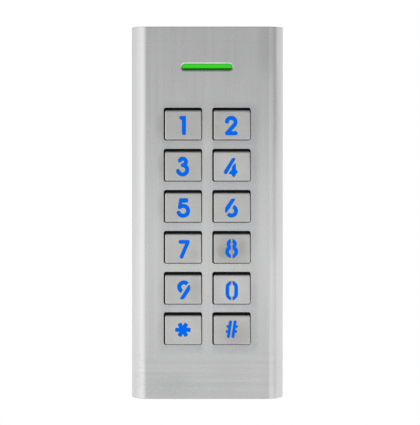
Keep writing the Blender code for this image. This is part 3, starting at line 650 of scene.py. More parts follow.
def smudges_and_painted_light(tree, x, z, cloud, colour, spots):
    """A colour with soft elliptical patches of other tones on it, lengths in mm: smudges and
    wear, and painted light and shade.
    """
    for cx, cz, wide, tall, strength, tone in spots:
        dx = calc(tree, "DIVIDE", calc(tree, "SUBTRACT", x, cx * MM), wide * MM)
        dz = calc(tree, "DIVIDE", calc(tree, "SUBTRACT", z, cz * MM), tall * MM)
        away = calc(
            tree,
            "SQRT",
            calc(
                tree,
                "ADD",
                calc(tree, "MULTIPLY", dx, dx),
                calc(tree, "MULTIPLY", dz, dz),
            ),
        )
        spot = calc(
            tree,
            "MULTIPLY",
            remap(tree, away, 0.1, 1.0, strength, 0.0),
            remap(tree, cloud, 0.35, 0.62, 0.7, 1.0),
        )
        colour = mix_colour(tree, spot, colour, tone)
    return colour


def housing_metal():
    mat, tree, shader = material(
        "housing_satin_zinc", (0.60, 0.60, 0.60), 0.34, 1.0
    )
    point = place(tree)
    axes = node(tree, "SeparateXYZ", {"Vector": point})
    x, z = axes.outputs[0], axes.outputs[2]

    level = noise(tree, point, (16, 300, 1100), 3.0)  # lying brush lines
    level_fine = noise(tree, point, (60, 900, 4000), 2.0)
    upright = noise(tree, point, (520, 520, 12), 3.0)  # standing brush lines
    upright_fine = noise(tree, point, (3000, 3000, 60), 2.0)
    cloud = noise(tree, point, (95, 95, 60), 3.0)

    low = remap(tree, z, -0.0495, -0.0560)  # only lying lines below the keys
    crest = remap(tree, z, 0.0560, 0.0640)
    lying = calc(tree, "MAXIMUM", low, calc(tree, "MULTIPLY", crest, 0.35))
    streak = node(tree, "Mix", data_type="FLOAT")
    put(tree, streak.inputs["Factor"], lying)
    put(tree, streak.inputs["A"], upright)
    put(tree, streak.inputs["B"], level)
    hair = node(tree, "Mix", data_type="FLOAT")
    put(tree, hair.inputs["Factor"], lying)
    put(tree, hair.inputs["A"], upright_fine)
    put(tree, hair.inputs["B"], level_fine)
    streak, hair = streak.outputs[0], hair.outputs[0]

    colour = shaded(
        tree,
        (0.613, 0.615, 0.616, 1.0),
        about(tree, streak, 0.050),
        about(tree, hair, 0.015),
        about(tree, cloud, 0.030),
    )
    # Painted shadow: the metal is darker and bluer round each key opening, shifted right and down
    # like the shade the raised keys cast.
    # The strip between the two columns keeps little of it, and so does most of the gap over the
    # ninth key.
    strip = remap(
        tree, calc(tree, "ABSOLUTE", x), 0.0016, 0.0024, 0.10, 1.0
    )
    gap_z = (ROW_1_Z - 3.5 * KEY_PITCH_Z) * MM
    gap = calc(tree, "ABSOLUTE", calc(tree, "SUBTRACT", z, gap_z))
    painted_key_shadow = near_keys(tree, x, z, 3.6, 0.9, -0.5)
    for factor in (
        remap(tree, cloud, 0.35, 0.65, 0.7, 1.0),
        remap(tree, gap, 0.002, 0.010, 0.35, 1.0),
        strip,
    ):
        painted_key_shadow = calc(tree, "MULTIPLY", painted_key_shadow, factor)
    colour = mix_colour(
        tree,
        calc(tree, "MULTIPLY", painted_key_shadow, 0.9),
        colour,
        (0.518, 0.524, 0.538, 1.0),
    )
    # Soft darker and lighter patches. Some are wear and polish. The long narrow ones down the
    # right flank are painted shade and painted light that stand in for shading the lighting does
    # not give, so they stay in the metal's colour under any light.
    wear_and_painted_shade, polish_and_painted_light = (0.490, 0.492, 0.500, 1.0), (0.690, 0.690, 0.690, 1.0)
    left, right = -KEY_PITCH_X / 2 - 8.0, KEY_PITCH_X / 2
    spots = [
        (cx, ROW_1_Z - row * KEY_PITCH_Z + rise, wide, tall, strength, tone)
        for cx, row, rise, wide, tall, strength, tone in (
            (left, 0, 0.0, 3.4, 7.5, 0.95, wear_and_painted_shade),
            (left, 1, 0.0, 2.6, 7.0, 0.80, wear_and_painted_shade),
            (left, 2, 0.0, 2.6, 7.0, 0.85, wear_and_painted_shade),
            (left, 4, 0.0, 2.6, 6.0, 0.35, wear_and_painted_shade),
            (left, 5, 0.0, 3.0, 7.0, 0.40, wear_and_painted_shade),
            (right, 5, -7.6, 9.0, 2.6, 0.55, wear_and_painted_shade),
            (right + 8.6, 0, 0.0, 3.6, 7.0, 0.35, wear_and_painted_shade),
            (right + 8.6, 1, 0.0, 3.0, 7.0, 0.40, wear_and_painted_shade),
            (0.0, 0, -8.0, 3.2, 5.0, 0.70, polish_and_painted_light),
            (0.0, 4, 0.0, 1.8, 7.0, 0.20, polish_and_painted_light),
            (0.0, 0, 15.0, 18.0, 11.0, 0.35, polish_and_painted_light),
            (-14.0, 6, -6.0, 14.0, 7.0, 0.35, wear_and_painted_shade),
            (21.5, 3, 5.0, 4.0, 60.0, 0.40, polish_and_painted_light),
            (22.5, 0, 29.0, 5.0, 16.0, 0.60, wear_and_painted_shade),
            (26.4, 0, 5.0, 1.8, 26.0, 0.60, wear_and_painted_shade),
            (25.2, 4, 4.0, 3.2, 18.0, 0.70, polish_and_painted_light),
            (26.8, 6, -1.0, 4.5, 14.0, 0.30, wear_and_painted_shade),
            (20.0, 6, -2.0, 6.0, 12.0, 0.35, polish_and_painted_light),
            (29.6, 3, 0.0, 1.6, 40.0, 0.80, wear_and_painted_shade),
        )
    ]
    colour = smudges_and_painted_light(tree, x, z, cloud, colour, spots)
    put(tree, shader.inputs["Base Color"], colour)

    rough = calc(
        tree,
        "ADD",
        remap(tree, hair, 0.2, 0.8, 0.255, 0.272, smooth=False),
        remap(tree, cloud, 0.3, 0.7, -0.010, 0.020, smooth=False),
    )
    put(tree, shader.inputs["Roughness"], rough)
    height = calc(
        tree,
        "ADD",
        calc(tree, "MULTIPLY", streak, 0.8),
        calc(tree, "MULTIPLY", hair, 0.2),
    )
    bumped(tree, shader, height, 0.04, 0.00006)
    return mat


def key_metal():
    mat, tree, shader = material("key_satin_zinc", (0.60, 0.59, 0.57), 0.32, 1.0)
    point = place(tree)
    axes = node(tree, "SeparateXYZ", {"Vector": point})
    x, z = axes.outputs[0], axes.outputs[2]
    lines = noise(tree, point, (110, 700, 2600), 3.0)
    hair = noise(tree, point, (200, 1200, 11000), 2.0)
    cloud = noise(tree, point, (140, 140, 140), 3.0)
    colour = shaded(
        tree,
        (0.582, 0.580, 0.574, 1.0),
        about(tree, lines, 0.035),
        about(tree, hair, 0.015),
        about(tree, cloud, 0.030),
    )
    # Handling has left brown smudges on some caps. The bright patches that cover whole caps are
    # painted light, which lightens caps that the lighting leaves too dark.
    brown, bright = (0.465, 0.455, 0.438, 1.0), (0.690, 0.690, 0.690, 1.0)
    dark = (0.400, 0.388, 0.368, 1.0)
    right, left = KEY_PITCH_X / 2, -KEY_PITCH_X / 2
    spots = []
    for cx, row, rise, wide, tall, strength, tone in (
        (right - 0.2, 3, -0.6, 10.0, 9.5, 1.0, brown),
        (right - 3.4, 3, -1.4, 2.6, 3.6, 0.8, dark),
        (right + 3.8, 3, 0.6, 2.4, 3.4, 0.4, dark),
        (right + 1.8, 5, -1.5, 8.5, 7.0, 0.75, brown),
        (left + 4.6, 4, -0.2, 4.2, 6.5, 0.60, brown),
        (left + 4.2, 3, -2.4, 3.6, 3.4, 0.40, brown),
        (right + 2.5, 0, 0.0, 9.0, 9.0, 0.55, bright),
        (right, 1, 0.0, 11.0, 10.0, 0.9, bright),
        (right, 4, 0.0, 11.0, 10.0, 0.7, bright),
        (left, 5, 0.0, 11.0, 10.0, 0.45, bright),
        # Painted shadow: the narrow dark marks on the stencil bridges of the 8 and the 0.
        (right + 0.1, 3, 0.5, 0.9, 4.2, 0.9, dark),
        (right + 0.1, 4, 2.6, 0.8, 1.1, 1.0, dark),
        (right + 0.1, 4, -3.5, 0.8, 1.0, 1.0, dark),
    ):
        cz = ROW_1_Z - row * KEY_PITCH_Z + rise
        spots.append((cx, cz, wide, tall, strength, tone))
    put(
        tree,
        shader.inputs["Base Color"],
        smudges_and_painted_light(tree, x, z, cloud, colour, spots),
    )
    put(
        tree,
        shader.inputs["Roughness"],
        remap(tree, hair, 0.2, 0.8, 0.27, 0.35, smooth=False),
    )
    bumped(tree, shader, hair, 0.10, 0.00005)
    return mat


def painted_shade_inside():
    """Near-black painted shade for the casting's inside, the walls of its openings and the caps'
    sides and stencil cuts, which keeps the gaps round the keys and the slot black; matt and a
    little uneven.
    """
    mat, tree, shader = material("casting_painted_shade", (0.022, 0.022, 0.023), 0.7)
    point = place(tree)
    grain = noise(tree, point, 1500, 3.0)
    put(
        tree,
        shader.inputs["Base Color"],
        shaded(tree, (0.022, 0.022, 0.023, 1.0), about(tree, grain, 0.6)),
    )
    bumped(tree, shader, grain, 0.4, 0.0002)
    return mat


def glow(name, colour, light, shine, edge_shade_z=None):
    """A lit light guide. For the status lens its light is painted darker toward the top, the ends
    and most of all the bottom edge: painted shade.
    """
    mat, tree, shader = material(
        name, colour, 0.5, Specular_IOR_Level=shine, Emission_Strength=1.0
    )
    point = place(tree)
    milk = noise(tree, point, 900, 2.0)
    lit = shaded(tree, (*light, 1.0), about(tree, milk, 0.025))
    if edge_shade_z is not None:
        x, _, z = node(tree, "SeparateXYZ", {"Vector": point}).outputs
        above = calc(tree, "SUBTRACT", z, edge_shade_z * MM)
        beside = calc(tree, "ABSOLUTE", calc(tree, "SUBTRACT", x, LENS_SHIFT * MM))
        top, low = LENS_LIFT + LENS_H / 2, LENS_LIFT - LENS_H / 2
        # Painted shade: the green fades toward the lens's top and ends, and fades most along its
        # bottom edge, where a shadow falls.
        lit = shaded(
            tree,
            lit,
            remap(tree, above, (top - 0.38) * MM, top * MM, 1.0, 0.45),
            remap(tree, above, low * MM, (low + 0.45) * MM, 0.15, 1.0),
            remap(tree, beside, (LENS_W / 2 - 0.7) * MM, LENS_W / 2 * MM, 1.0, 0.65),
        )
    put(tree, shader.inputs["Emission Color"], lit)
    put(tree, shader.inputs["Base Color"], shaded(tree, (*colour, 1.0), about(tree, milk, 0.05)))
    return mat


def plastic(name, colour, roughness, grain_scale=2200, grain=0.15):
    mat, tree, shader = material(name, colour, roughness)
    point = place(tree)
    fine = noise(tree, point, grain_scale, 2.0)
    cloud = noise(tree, point, 120, 2.0)
    put(
        tree,
        shader.inputs["Base Color"],
        shaded(tree, (*colour, 1.0), about(tree, fine, 0.10), about(tree, cloud, 0.06)),
    )
    put(
        tree,
        shader.inputs["Roughness"],
        remap(tree, fine, 0.2, 0.8, roughness - 0.06, roughness + 0.06, smooth=False),
    )
    bumped(tree, shader, fine, grain, 0.00008)
    return mat


def plated_steel():
    """Zinc-plated sheet: soft blue-grey spangle under faint rolling lines."""
    mat, tree, shader = material("plate_zinc", (0.55, 0.56, 0.58), 0.40, 1.0)
    point = place(tree)
    lines = noise(tree, point, (1600, 400, 60), 3.0)
    flakes = node(
        tree,
        "TexVoronoi",
        {
            "Vector": node(
                tree, "Mapping", {"Vector": point, "Scale": (260, 260, 260)}
            ).outputs[0],
            "Scale": 1.0,
        },
        feature="F1",
    )
    tone = node(tree, "SeparateColor", {"Color": flakes.outputs["Color"]}).outputs[0]
    put(
        tree,
        shader.inputs["Base Color"],
        shaded(
            tree,
            (0.56, 0.57, 0.59, 1.0),
            about(tree, lines, 0.05),
            remap(tree, tone, 0.0, 1.0, 0.95, 1.05, smooth=False),
        ),
    )
    put(
        tree,
        shader.inputs["Roughness"],
        remap(tree, tone, 0.0, 1.0, 0.34, 0.46, smooth=False),
    )
    bumped(tree, shader, lines, 0.08, 0.00006)
    return mat


def screw_steel():
    mat, tree, shader = material("screw_stainless", (0.52, 0.52, 0.53), 0.28, 1.0)
    point = place(tree)
    lines = noise(tree, point, (3000, 600, 3000), 3.0)
    put(
        tree,
        shader.inputs["Base Color"],
        shaded(tree, (0.52, 0.52, 0.53, 1.0), about(tree, lines, 0.08)),
    )
    put(
        tree,
        shader.inputs["Roughness"],
        remap(tree, lines, 0.2, 0.8, 0.22, 0.36, smooth=False),
    )
    bumped(tree, shader, lines, 0.10, 0.00005)
    return mat


def laminate():
    """Solder mask over copper tracks, with tinned pads."""
    mat, tree, shader = material("board_laminate", (0.02, 0.17, 0.07), 0.35)
    point = place(tree)
    tracks = node(
        tree,
        "TexBrick",
        {
            "Vector": node(
                tree,
                "Mapping",
                {"Vector": point, "Scale": (1000, 1000, 1000), "Rotation": (math.pi / 2, 0, 0)},
            ).outputs[0],
            "Scale": 0.45,
            "Mortar Size": 0.07,
            "Mortar Smooth": 0.1,
            "Brick Width": 1.4,
            "Row Height": 0.5,
        },
    )
    weave = noise(tree, point, 2400, 2.0)
    base = mix_colour(
        tree, tracks.outputs["Fac"], (0.012, 0.135, 0.052, 1.0), (0.05, 0.26, 0.10, 1.0)
    )
    put(
        tree,
        shader.inputs["Base Color"],
        shaded(tree, base, about(tree, weave, 0.10)),
    )
    bumped(tree, shader, tracks.outputs["Fac"], 0.3, 0.00004)
    return mat


def winding():
    mat, tree, shader = material("coil_copper", (0.80, 0.34, 0.14), 0.34, 1.0)
    point = place(tree)
    turns = noise(tree, point, (300, 9000, 300), 1.0)
    put(
        tree,
        shader.inputs["Base Color"],
        shaded(tree, (0.72, 0.29, 0.11, 1.0), about(tree, turns, 0.2)),
    )
    bumped(tree, shader, turns, 0.5, 0.0001)
    return mat


def silicone():
    mat, tree, shader = material("mat_silicone", (0.55, 0.57, 0.60), 0.55)
    point = place(tree)
    fine = noise(tree, point, 700, 3.0)
    put(
        tree,
        shader.inputs["Base Color"],
        shaded(tree, (0.50, 0.52, 0.55, 1.0), about(tree, fine, 0.06)),
    )
    bumped(tree, shader, fine, 0.1, 0.0001)
    return mat


def clear_plastic():
    mat, tree, shader = material("window_clear", (0.75, 0.78, 0.80), 0.12)
    shader.inputs["Transmission Weight"].default_value = 0.7
    point = place(tree)
    fine = noise(tree, point, 900, 2.0)
    put(
        tree,
        shader.inputs["Roughness"],
        remap(tree, fine, 0.2, 0.8, 0.08, 0.16, smooth=False),
    )
    return mat


METAL = housing_metal()
CAP_METAL = key_metal()
PAINTED_SHADE = painted_shade_inside()
BLUE = glow("legend_blue_glow", (0.0, 0.003, 0.02), (0.0, 0.140, 0.89), 0.0)
EDGE = glow("legend_edge_glow", (0.0, 0.003, 0.02), (0.0, 0.17, 0.24), 0.0)
GREEN = glow("status_green_glow", (0.0, 0.08, 0.0), (0.042, 0.575, 0.026), 0.12, LENS_Z)
BLACK = plastic("cover_black", (0.022, 0.022, 0.023), 0.52, 1800, 0.30)
RUBBER = plastic("grommet_rubber", (0.018, 0.018, 0.018), 0.78, 900, 0.25)
WHITE = plastic("moulding_white", (0.80, 0.79, 0.74), 0.45, 1500, 0.08)
CHIP = plastic("package_black", (0.020, 0.020, 0.022), 0.60, 3000, 0.25)
CAN = plated_steel()
PLATE = plated_steel()
SCREW = screw_steel()
BOARD = laminate()
COPPER = winding()
SILICONE = silicone()
CLEAR = clear_plastic()
LED = plastic("led_package", (0.85, 0.85, 0.80), 0.25, 2500, 0.05)


# ---------------------------------------------------------------- housing


def plan(offset):
    """The housing's outline from above as (x, depth), moved in by offset."""
    across, deep = HALF_W - FLAT_HALF_W, FLANK_DEPTH
    right = [
        (HALF_W - offset - 0.22, RIM_DEPTH),
        (HALF_W - offset - 0.06, RIM_DEPTH - 0.06),
        (HALF_W - offset, RIM_DEPTH - 0.22),
    ]
    for i in range(25):
        lean = math.radians(90.0 * (1.0 - i / 24))
        t = math.atan2(deep * math.cos(lean), across * math.sin(lean))
        right.append(
            (
                FLAT_HALF_W + across * math.cos(t) - offset * math.sin(lean),
                deep - deep * math.sin(t) + offset * math.cos(lean),
            )
        )
    right.append((FLAT_HALF_W - 0.35, offset))
    return right + [(-x, d) for x, d in reversed(right)]


def lip(solid, outline, radius):
    """Rings that round over the front edge of an opening and go down its wall."""
    rings = [solid.ring(outline(radius + 0.12), 0.0)]
    for s, c in quarter(5):
        rings.append(solid.ring(outline(radius * (1 - s)), radius * (1 - c)))
    rings.append(solid.ring(outline(0.0), radius + 0.12))
    solid.loft(rings)
    solid.look = 1
    back = solid.ring(outline(0.0), FRONT_WALL)
    solid.wall(rings[-1], back)
    solid.look = 0
    return rings[0], back


def dish(solid, outline, wide, deep):
    """Rings down a shallow sloping rim and then the wall of an opening."""
    slope = (
        (wide + 0.12, 0.0),
        (wide + 0.04, 0.0),
        (wide - 0.04, deep * 0.1),
        (0.06, deep * 0.9),
        (0.0, deep + 0.08),
    )
    rings = solid.loft([solid.ring(outline(o), d) for o, d in slope])
    solid.look = 1
    back = solid.ring(outline(0.0), FRONT_WALL)
    solid.wall(rings[-1], back)
    solid.look = 0
    return rings[0], back


def housing():
    shell = Solid()
    stations = [(HALF_H - END_ROUND - 0.25, 0.0)]
    for s, c in quarter(7):
        stations.append((HALF_H - END_ROUND * (1 - s), END_ROUND * (1 - c)))
    stations.append((HALF_H, END_ROUND + 0.2))
    stations = [(-z, o) for z, o in reversed(stations)] + stations
    rings = [
        shell.ring_3d([(x, d - DEPTH, z) for x, d in plan(offset)])
        for z, offset in stations
    ]
    count = len(rings[0])
    middle, span = count // 2 - 1, len(rings) // 2 - 1
    for k, (a, b) in enumerate(zip(rings, rings[1:])):
        for i in range(count - 1):
            if k == span and i == middle:
                continue
            shell.face((a[i], a[i + 1], b[i + 1], b[i]))
    shell.fill(rings[0], axes=(0, 1))
    shell.fill(rings[-1], axes=(0, 1))

    in_front, behind = [], []
    for _, x, z in key_centres():

        def opening(o, x=x, z=z):
            return rounded_rect(
                OPENING_W / 2 + o,
                OPENING_H / 2 + o,
                OPENING_R + o,
                7,
                x + OPENING_SHIFT,
                z + OPENING_LIFT - row_drop(z),
            )

        a, b = lip(shell, opening, LIP)
        in_front.append(a)
        behind.append(b)

    def bar(o):
        return slot(SLOT_W / 2 + o, SLOT_H / 2 + o, 12, LENS_SHIFT, LENS_Z + SLOT_LIFT)

    a, b = dish(shell, bar, SLOT_RIM, SLOT_DISH)
    in_front.append(a)
    behind.append(b)
    a, b = rings[span], rings[span + 1]
    shell.fill([a[middle], b[middle], b[middle + 1], a[middle + 1]], in_front)

    shell.look = 1
    for posts, radius, top, bore, bottom in (
        (COVER_SCREWS, 2.6, 13.6, 1.35, 4.5),
        (BOARD_SCREWS, 2.1, 7.8, 1.15, 3.4),
    ):
        for x, z in posts:
            post = shell.loft(
                [
                    shell.ring(circle(x, z, r, 24), d)
                    for r, d in (
                        (radius, FRONT_WALL),
                        (radius, top),
                        (bore, top),
                        (bore, bottom),
                    )
                ]
            )
            shell.fill(post[-1])
            behind.append(post[0])
    cavity = shell.loft(
        [
            shell.ring(rounded_rect(w, h, 2.0, 5), d)
            for w, h, d in (
                (22.8, 66.2, FRONT_WALL),
                (23.8, 66.5, 3.5),
                (25.0, 66.8, 6.2),
                (25.0, 66.8, 14.0),
                (26.7, 68.5, 14.0),
                (26.7, 68.5, RIM_DEPTH - 0.15),
                (26.85, 68.65, RIM_DEPTH),
            )
        ]
    )
    shell.fill(cavity[0], behind)
    shell.look = 0
    rim = [ring[0] for ring in rings] + [ring[-1] for ring in reversed(rings)]
    shell.fill(rim, [cavity[-1]])
    obj = shell.done("housing", METAL, PAINTED_SHADE)

    holes = Solid()
    holes.look = 1
    for side in (-1, 1):
        x = side * HOOK_X
        half = HOOK_W / 2 + 0.4
        block(holes, x - half, x + half, 68.0, 69.8, 18.0, 20.3)
    y = SECURITY_DEPTH - DEPTH
    sunk = [
        holes.ring_3d([(x, y + dy, z) for x, dy in circle(0, 0, r, 40)])
        for r, z in (
            (3.0, -HALF_H - 0.2),
            (2.6, -HALF_H + 0.2),
            (2.6, -69.6),
            (1.5, -69.6),
            (1.5, -67.9),
        )
    ]
    holes.loft(sunk)
    holes.fill(sunk[0], axes=(0, 1))
    holes.fill(sunk[-1], axes=(0, 1))
    combine(obj, holes, "DIFFERENCE")
    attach(obj, "base")
    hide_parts("front_housing")


# ---------------------------------------------------------------- keys


def key_cap(name, cx, cz, loops):
    cap = Solid()

    def at(half_w, half_h, radius, depth):
        outline = rounded_rect(
            half_w, half_h, radius, 7, cx + KEY_SHIFT, cz - row_drop(cz)
        )
        return cap.ring(outline, depth)

    half_w, half_h = KEY_W / 2, KEY_H / 2
    front = at(
        half_w - KEY_EDGE - 0.1, half_h - KEY_EDGE - 0.1, KEY_R - 0.32, -KEY_PROUD
    )
    outside = [front]
    for s, c in quarter(6):
        o = KEY_EDGE * (1 - s)
        outside.append(
            at(half_w - o, half_h - o, KEY_R - o * 0.7, -KEY_PROUD + KEY_EDGE * (1 - c))
        )
    outside.append(at(half_w, half_h, KEY_R, -KEY_PROUD + KEY_EDGE + 0.12))
    outside.append(at(half_w, half_h, KEY_R, 0.5))
    cap.loft(outside)
    # The cap's sides behind its edge, and the stencil cuts below, take the near-black painted
    # shade.
    cap.look = 1
    behind_edge = [
        outside[-1],
        at(half_w, half_h, KEY_R, FLANGE_FRONT),
        at(FLANGE_W / 2, FLANGE_H / 2, KEY_R, FLANGE_FRONT),
        at(FLANGE_W / 2, FLANGE_H / 2, KEY_R, FLANGE_BACK),
        at(half_w - KEY_WALL, half_h - KEY_WALL, 0.6, FLANGE_BACK),
        at(half_w - KEY_WALL, half_h - KEY_WALL, 0.6, -KEY_PROUD + KEY_WALL),
    ]
    cap.loft(behind_edge)
    cap.look = 0
    cuts = [[(x + cx, z + cz) for x, z in loop] for loop in loops]
    in_front, behind = [], []
    for loop in cuts:
        edge = cap.ring(inset(loop, -STENCIL_SOFT), -KEY_PROUD)
        low = cap.ring(loop, -KEY_PROUD + STENCIL_SOFT)
        cap.look = 1
        cap.wall(edge, low)
        back = cap.ring(loop, -KEY_PROUD + KEY_WALL)
        cap.wall(low, back)
        cap.look = 0
        in_front.append(edge)
        behind.append(back)
    cap.fill(front, in_front)
    cap.look = 1
    cap.fill(behind_edge[-1], behind)
    obj = cap.done(f"cap_{name}", CAP_METAL, PAINTED_SHADE)
    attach(obj, f"button_{name}")
    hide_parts(f"key_{name}")


def key_legend(name, cx, cz, loops):
    guide = Solid()
    half_w, half_h = KEY_W / 2 - KEY_WALL - 0.1, KEY_H / 2 - KEY_WALL - 0.1
    face = -KEY_PROUD + KEY_WALL + 0.1
    body = rounded_rect(half_w, half_h, 0.6, 4, cx + KEY_SHIFT, cz - row_drop(cz))
    back, front = guide.ring(body, 3.7), guide.ring(body, face)
    guide.wall(back, front)
    guide.fill(back)
    low_rings = []
    for loop in loops:
        raised = shrunk(loop, STENCIL_GAP)
        crown = [(x + cx, z + cz) for x, z in inset(raised, 0.025)]
        raised = [(x + cx, z + cz) for x, z in raised]
        low = guide.ring(raised, face)
        shoulder = guide.ring(raised, -KEY_PROUD + 0.12)
        top = guide.ring(crown, -KEY_PROUD + 0.08)
        # Painted shade: the sides glow dimmer and greener to stand for the shaded gap round each
        # character.
        guide.look = 1  # dimmer beside the character than through its face
        guide.wall(low, shoulder)
        guide.look = 0
        guide.wall(shoulder, top)
        guide.fill(top)
        low_rings.append(low)
    guide.look = 1
    guide.fill(front, low_rings)
    obj = guide.done(f"light_guide_{name}", BLUE, EDGE)
    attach(obj, f"button_{name}")
    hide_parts(f"legend_{name}")


def status_bar():
    lens = Solid()

    def at(half_w, half_h, depth):
        outline = slot(half_w, half_h, 14, LENS_SHIFT, LENS_Z + LENS_LIFT)
        return lens.ring(outline, depth)

    half_w, half_h = LENS_W / 2, LENS_H / 2
    rings = [at(half_w - 0.42, half_h - 0.42, -LENS_PROUD)]
    for s, c in quarter(5):
        o, d = 0.34 * (1 - s), -LENS_PROUD + 0.34 * (1 - c)
        rings.append(at(half_w - o, half_h - o, d))
    for w, h, d in (
        (half_w, half_h, 0.2),
        (half_w, half_h, 2.8),
        (11.2, 2.3, 2.8),
        (11.2, 2.3, 3.8),
        (9.0, 1.0, 3.8),
        (9.0, 1.0, 5.6),
    ):
        rings.append(at(w, h, d))
    lens.loft(rings)
    lens.fill(rings[0])
    lens.fill(rings[-1])
    obj = lens.done("status_bar", GREEN)
    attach(obj, "base")
    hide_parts("status_lens")


# ---------------------------------------------------------------- key mat


def mat_sheet():
    sheet = Solid()
    height, middle = (MAT_TOP - MAT_BOTTOM) / 2, (MAT_TOP + MAT_BOTTOM) / 2
    edge = rounded_rect(MAT_HALF_W, height, 1.5, 6, 0.0, middle)
    front, back = sheet.ring(edge, MAT_FRONT), sheet.ring(edge, MAT_BACK)
    sheet.wall(front, back)
    in_front, behind = [], []
    for _, x, z in key_centres():
        cx = x + LIGHT_SHIFT
        window = rounded_rect(1.2, 1.0, 0.2, 3, cx, z)
        a, b = sheet.ring(window, MAT_FRONT), sheet.ring(window, MAT_BACK)
        sheet.wall(a, b)
        in_front.append(a)
        behind.append(b)
    sheet.fill(front, in_front)
    sheet.fill(back, behind)
    obj = sheet.done("mat_sheet", SILICONE)
    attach(obj, "base")
    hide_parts("key_mat")


def mat_dome(name, x, z):
    """One rubber dome, which crumples towards the sheet as its key goes in."""
    dome = Solid()
    profile = [
        (DOME_BASE_R, MAT_FRONT - 0.02),
        (DOME_BASE_R - 0.12, MAT_FRONT - 0.25),
        (3.45, 6.15),
        (DOME_TOP_R + 0.55, 5.15),
        (DOME_TOP_R + 0.12, 4.55),
        (DOME_TOP_R, DOME_TOP + 0.25),
        (DOME_TOP_R - 0.2, DOME_TOP),
    ]
    turned(dome, x, z, profile, 32)
    obj = dome.done(f"mat_dome_{name}", SILICONE, smooth=50)
    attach(obj, "base")
    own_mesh(obj)


# ---------------------------------------------------------------- back


def wall_plate():
    front, back, edge = 21.0, DEPTH, 0.14
    half_w, top, bottom = 26.2, 68.0, -67.6
    half_h, middle = (top - bottom) / 2, (top + bottom) / 2
    plate = Solid()

    def levels(outline, sign):
        """Rings from the front face to the back face, with eased edges."""
        return plate.loft(
            [
                plate.ring(outline(-sign * edge), front),
                plate.ring(outline(0.0), front + edge),
                plate.ring(outline(0.0), back - edge),
                plate.ring(outline(-sign * edge), back),
            ]
        )

    rings = levels(
        lambda o: rounded_rect(half_w + o, half_h + o, 1.6 + o, 6, 0.0, middle), 1
    )
    outlines = [lambda o: circle(0.0, CABLE_Z, 6.5 + o, 56)]
    for z in (41.75, -41.75):
        outlines.append(lambda o, z=z: slot(2.0 + o, 4.5 + o, 12, 0.0, z))
    for x in (-18.0, 18.0):
        for z in (-55.0, 55.0):
            outlines.append(lambda o, x=x, z=z: circle(x, z, 1.75 + o, 28))
    holes = [levels(outline, -1) for outline in outlines]
    plate.fill(rings[0], [h[0] for h in holes])
    plate.fill(rings[-1], [h[-1] for h in holes])
    obj = plate.done("mounting_plate", PLATE)

    bent = Solid()
    for side in (-1, 1):
        x0, x1 = side * HOOK_X - HOOK_W / 2, side * HOOK_X + HOOK_W / 2
        profile = softened(
            (
                (21.4, 66.4),
                (18.3, 66.4),
                (18.3, 69.5),
                (19.5, 69.5),
                (19.5, 67.9),
                (21.4, 67.9),
            ),
            0.35,
            4,
        )
        ends = [
            bent.ring_3d([(x, d - DEPTH, z) for d, z in profile]) for x in (x0, x1)
        ]
        bent.wall(*ends)
        for end in ends:
            bent.fill(end, axes=(1, 2))
    combine(obj, bent, "UNION")

    tab = Solid()
    outline = softened(
        [(-6.0, 21.4), (-6.0, 17.3), (-4.8, 16.15), (4.8, 16.15), (6.0, 17.3), (6.0, 21.4)],
        0.3,
        3,
    )
    y = SECURITY_DEPTH - DEPTH
    bore = circle(0.0, 0.0, 1.5, 32)
    ends, bores = [], []
    for z in (bottom + 0.1, bottom + 1.6):
        ends.append(tab.ring_3d([(x, d - DEPTH, z) for x, d in outline]))
        bores.append(tab.ring_3d([(x, y + dy, z) for x, dy in bore]))
        tab.fill(ends[-1], [bores[-1]], axes=(0, 1))
    tab.wall(*ends)
    tab.wall(*bores)
    combine(obj, tab, "UNION")
    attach(obj, "base")
    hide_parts("wall_plate")


def rear_cover():
    front, back = 15.0, 17.0
    cover = Solid()
    rings = cover.loft(
        [
            cover.ring(rounded_rect(26.4 - e, 68.2 - e, 1.8, 6), d)
            for e, d in ((0.0, front), (0.0, back - 0.3), (0.12, back - 0.1), (0.3, back))
        ]
    )
    in_front, behind = [], []
    for x, z in COVER_SCREWS:
        hole = cover.loft(
            [
                cover.ring(circle(x, z, r, 32), d)
                for r, d in ((1.3, front), (1.3, 15.8), (2.5, 15.8), (2.5, 16.85), (2.65, back))
            ]
        )
        in_front.append(hole[0])
        behind.append(hole[-1])
    for z, r in ((CABLE_Z, 4.8), (TAMPER_Z, 2.8)):
        hole = cover.loft(
            [
                cover.ring(circle(0.0, z, q, 40), d)
                for q, d in ((r, front), (r, 16.85), (r + 0.15, back))
            ]
        )
        in_front.append(hole[0])
        behind.append(hole[-1])
    relief = rounded_rect(8.0, 1.25, 0.4, 3, 0.0, -66.65)
    rim, floor = cover.ring(relief, back), cover.ring(relief, 15.8)
    cover.wall(rim, floor)
    cover.fill(floor)
    behind.append(rim)
    cover.fill(rings[0], in_front)
    cover.fill(rings[-1], behind)
    obj = cover.done("back_cover", BLACK)
    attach(obj, "base")
    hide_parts("rear_cover")

    grommet = Solid()
    profile = (
        (CABLE_BORE_R, 13.5),
        (CABLE_BORE_R + 0.2, 13.3),
        (5.9, 13.3),
        (6.15, 13.45),
        (6.2, 13.7),
        (6.2, 14.7),
        (4.5, 14.7),
        (4.5, 17.3),
        (6.2, 17.3),
        (6.2, 18.1),
        (6.05, 18.45),
        (5.7, 18.8),
        (5.3, 18.98),
        (4.9, 19.0),
        (3.7, 19.0),
        (3.42, 18.9),
        (CABLE_BORE_R, 18.65),
    )
    turned(grommet, 0.0, CABLE_Z, profile, 56, cap_ends=False)
    obj = grommet.done("grommet", RUBBER, smooth=50)
    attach(obj, "base")
    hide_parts("cable_grommet")


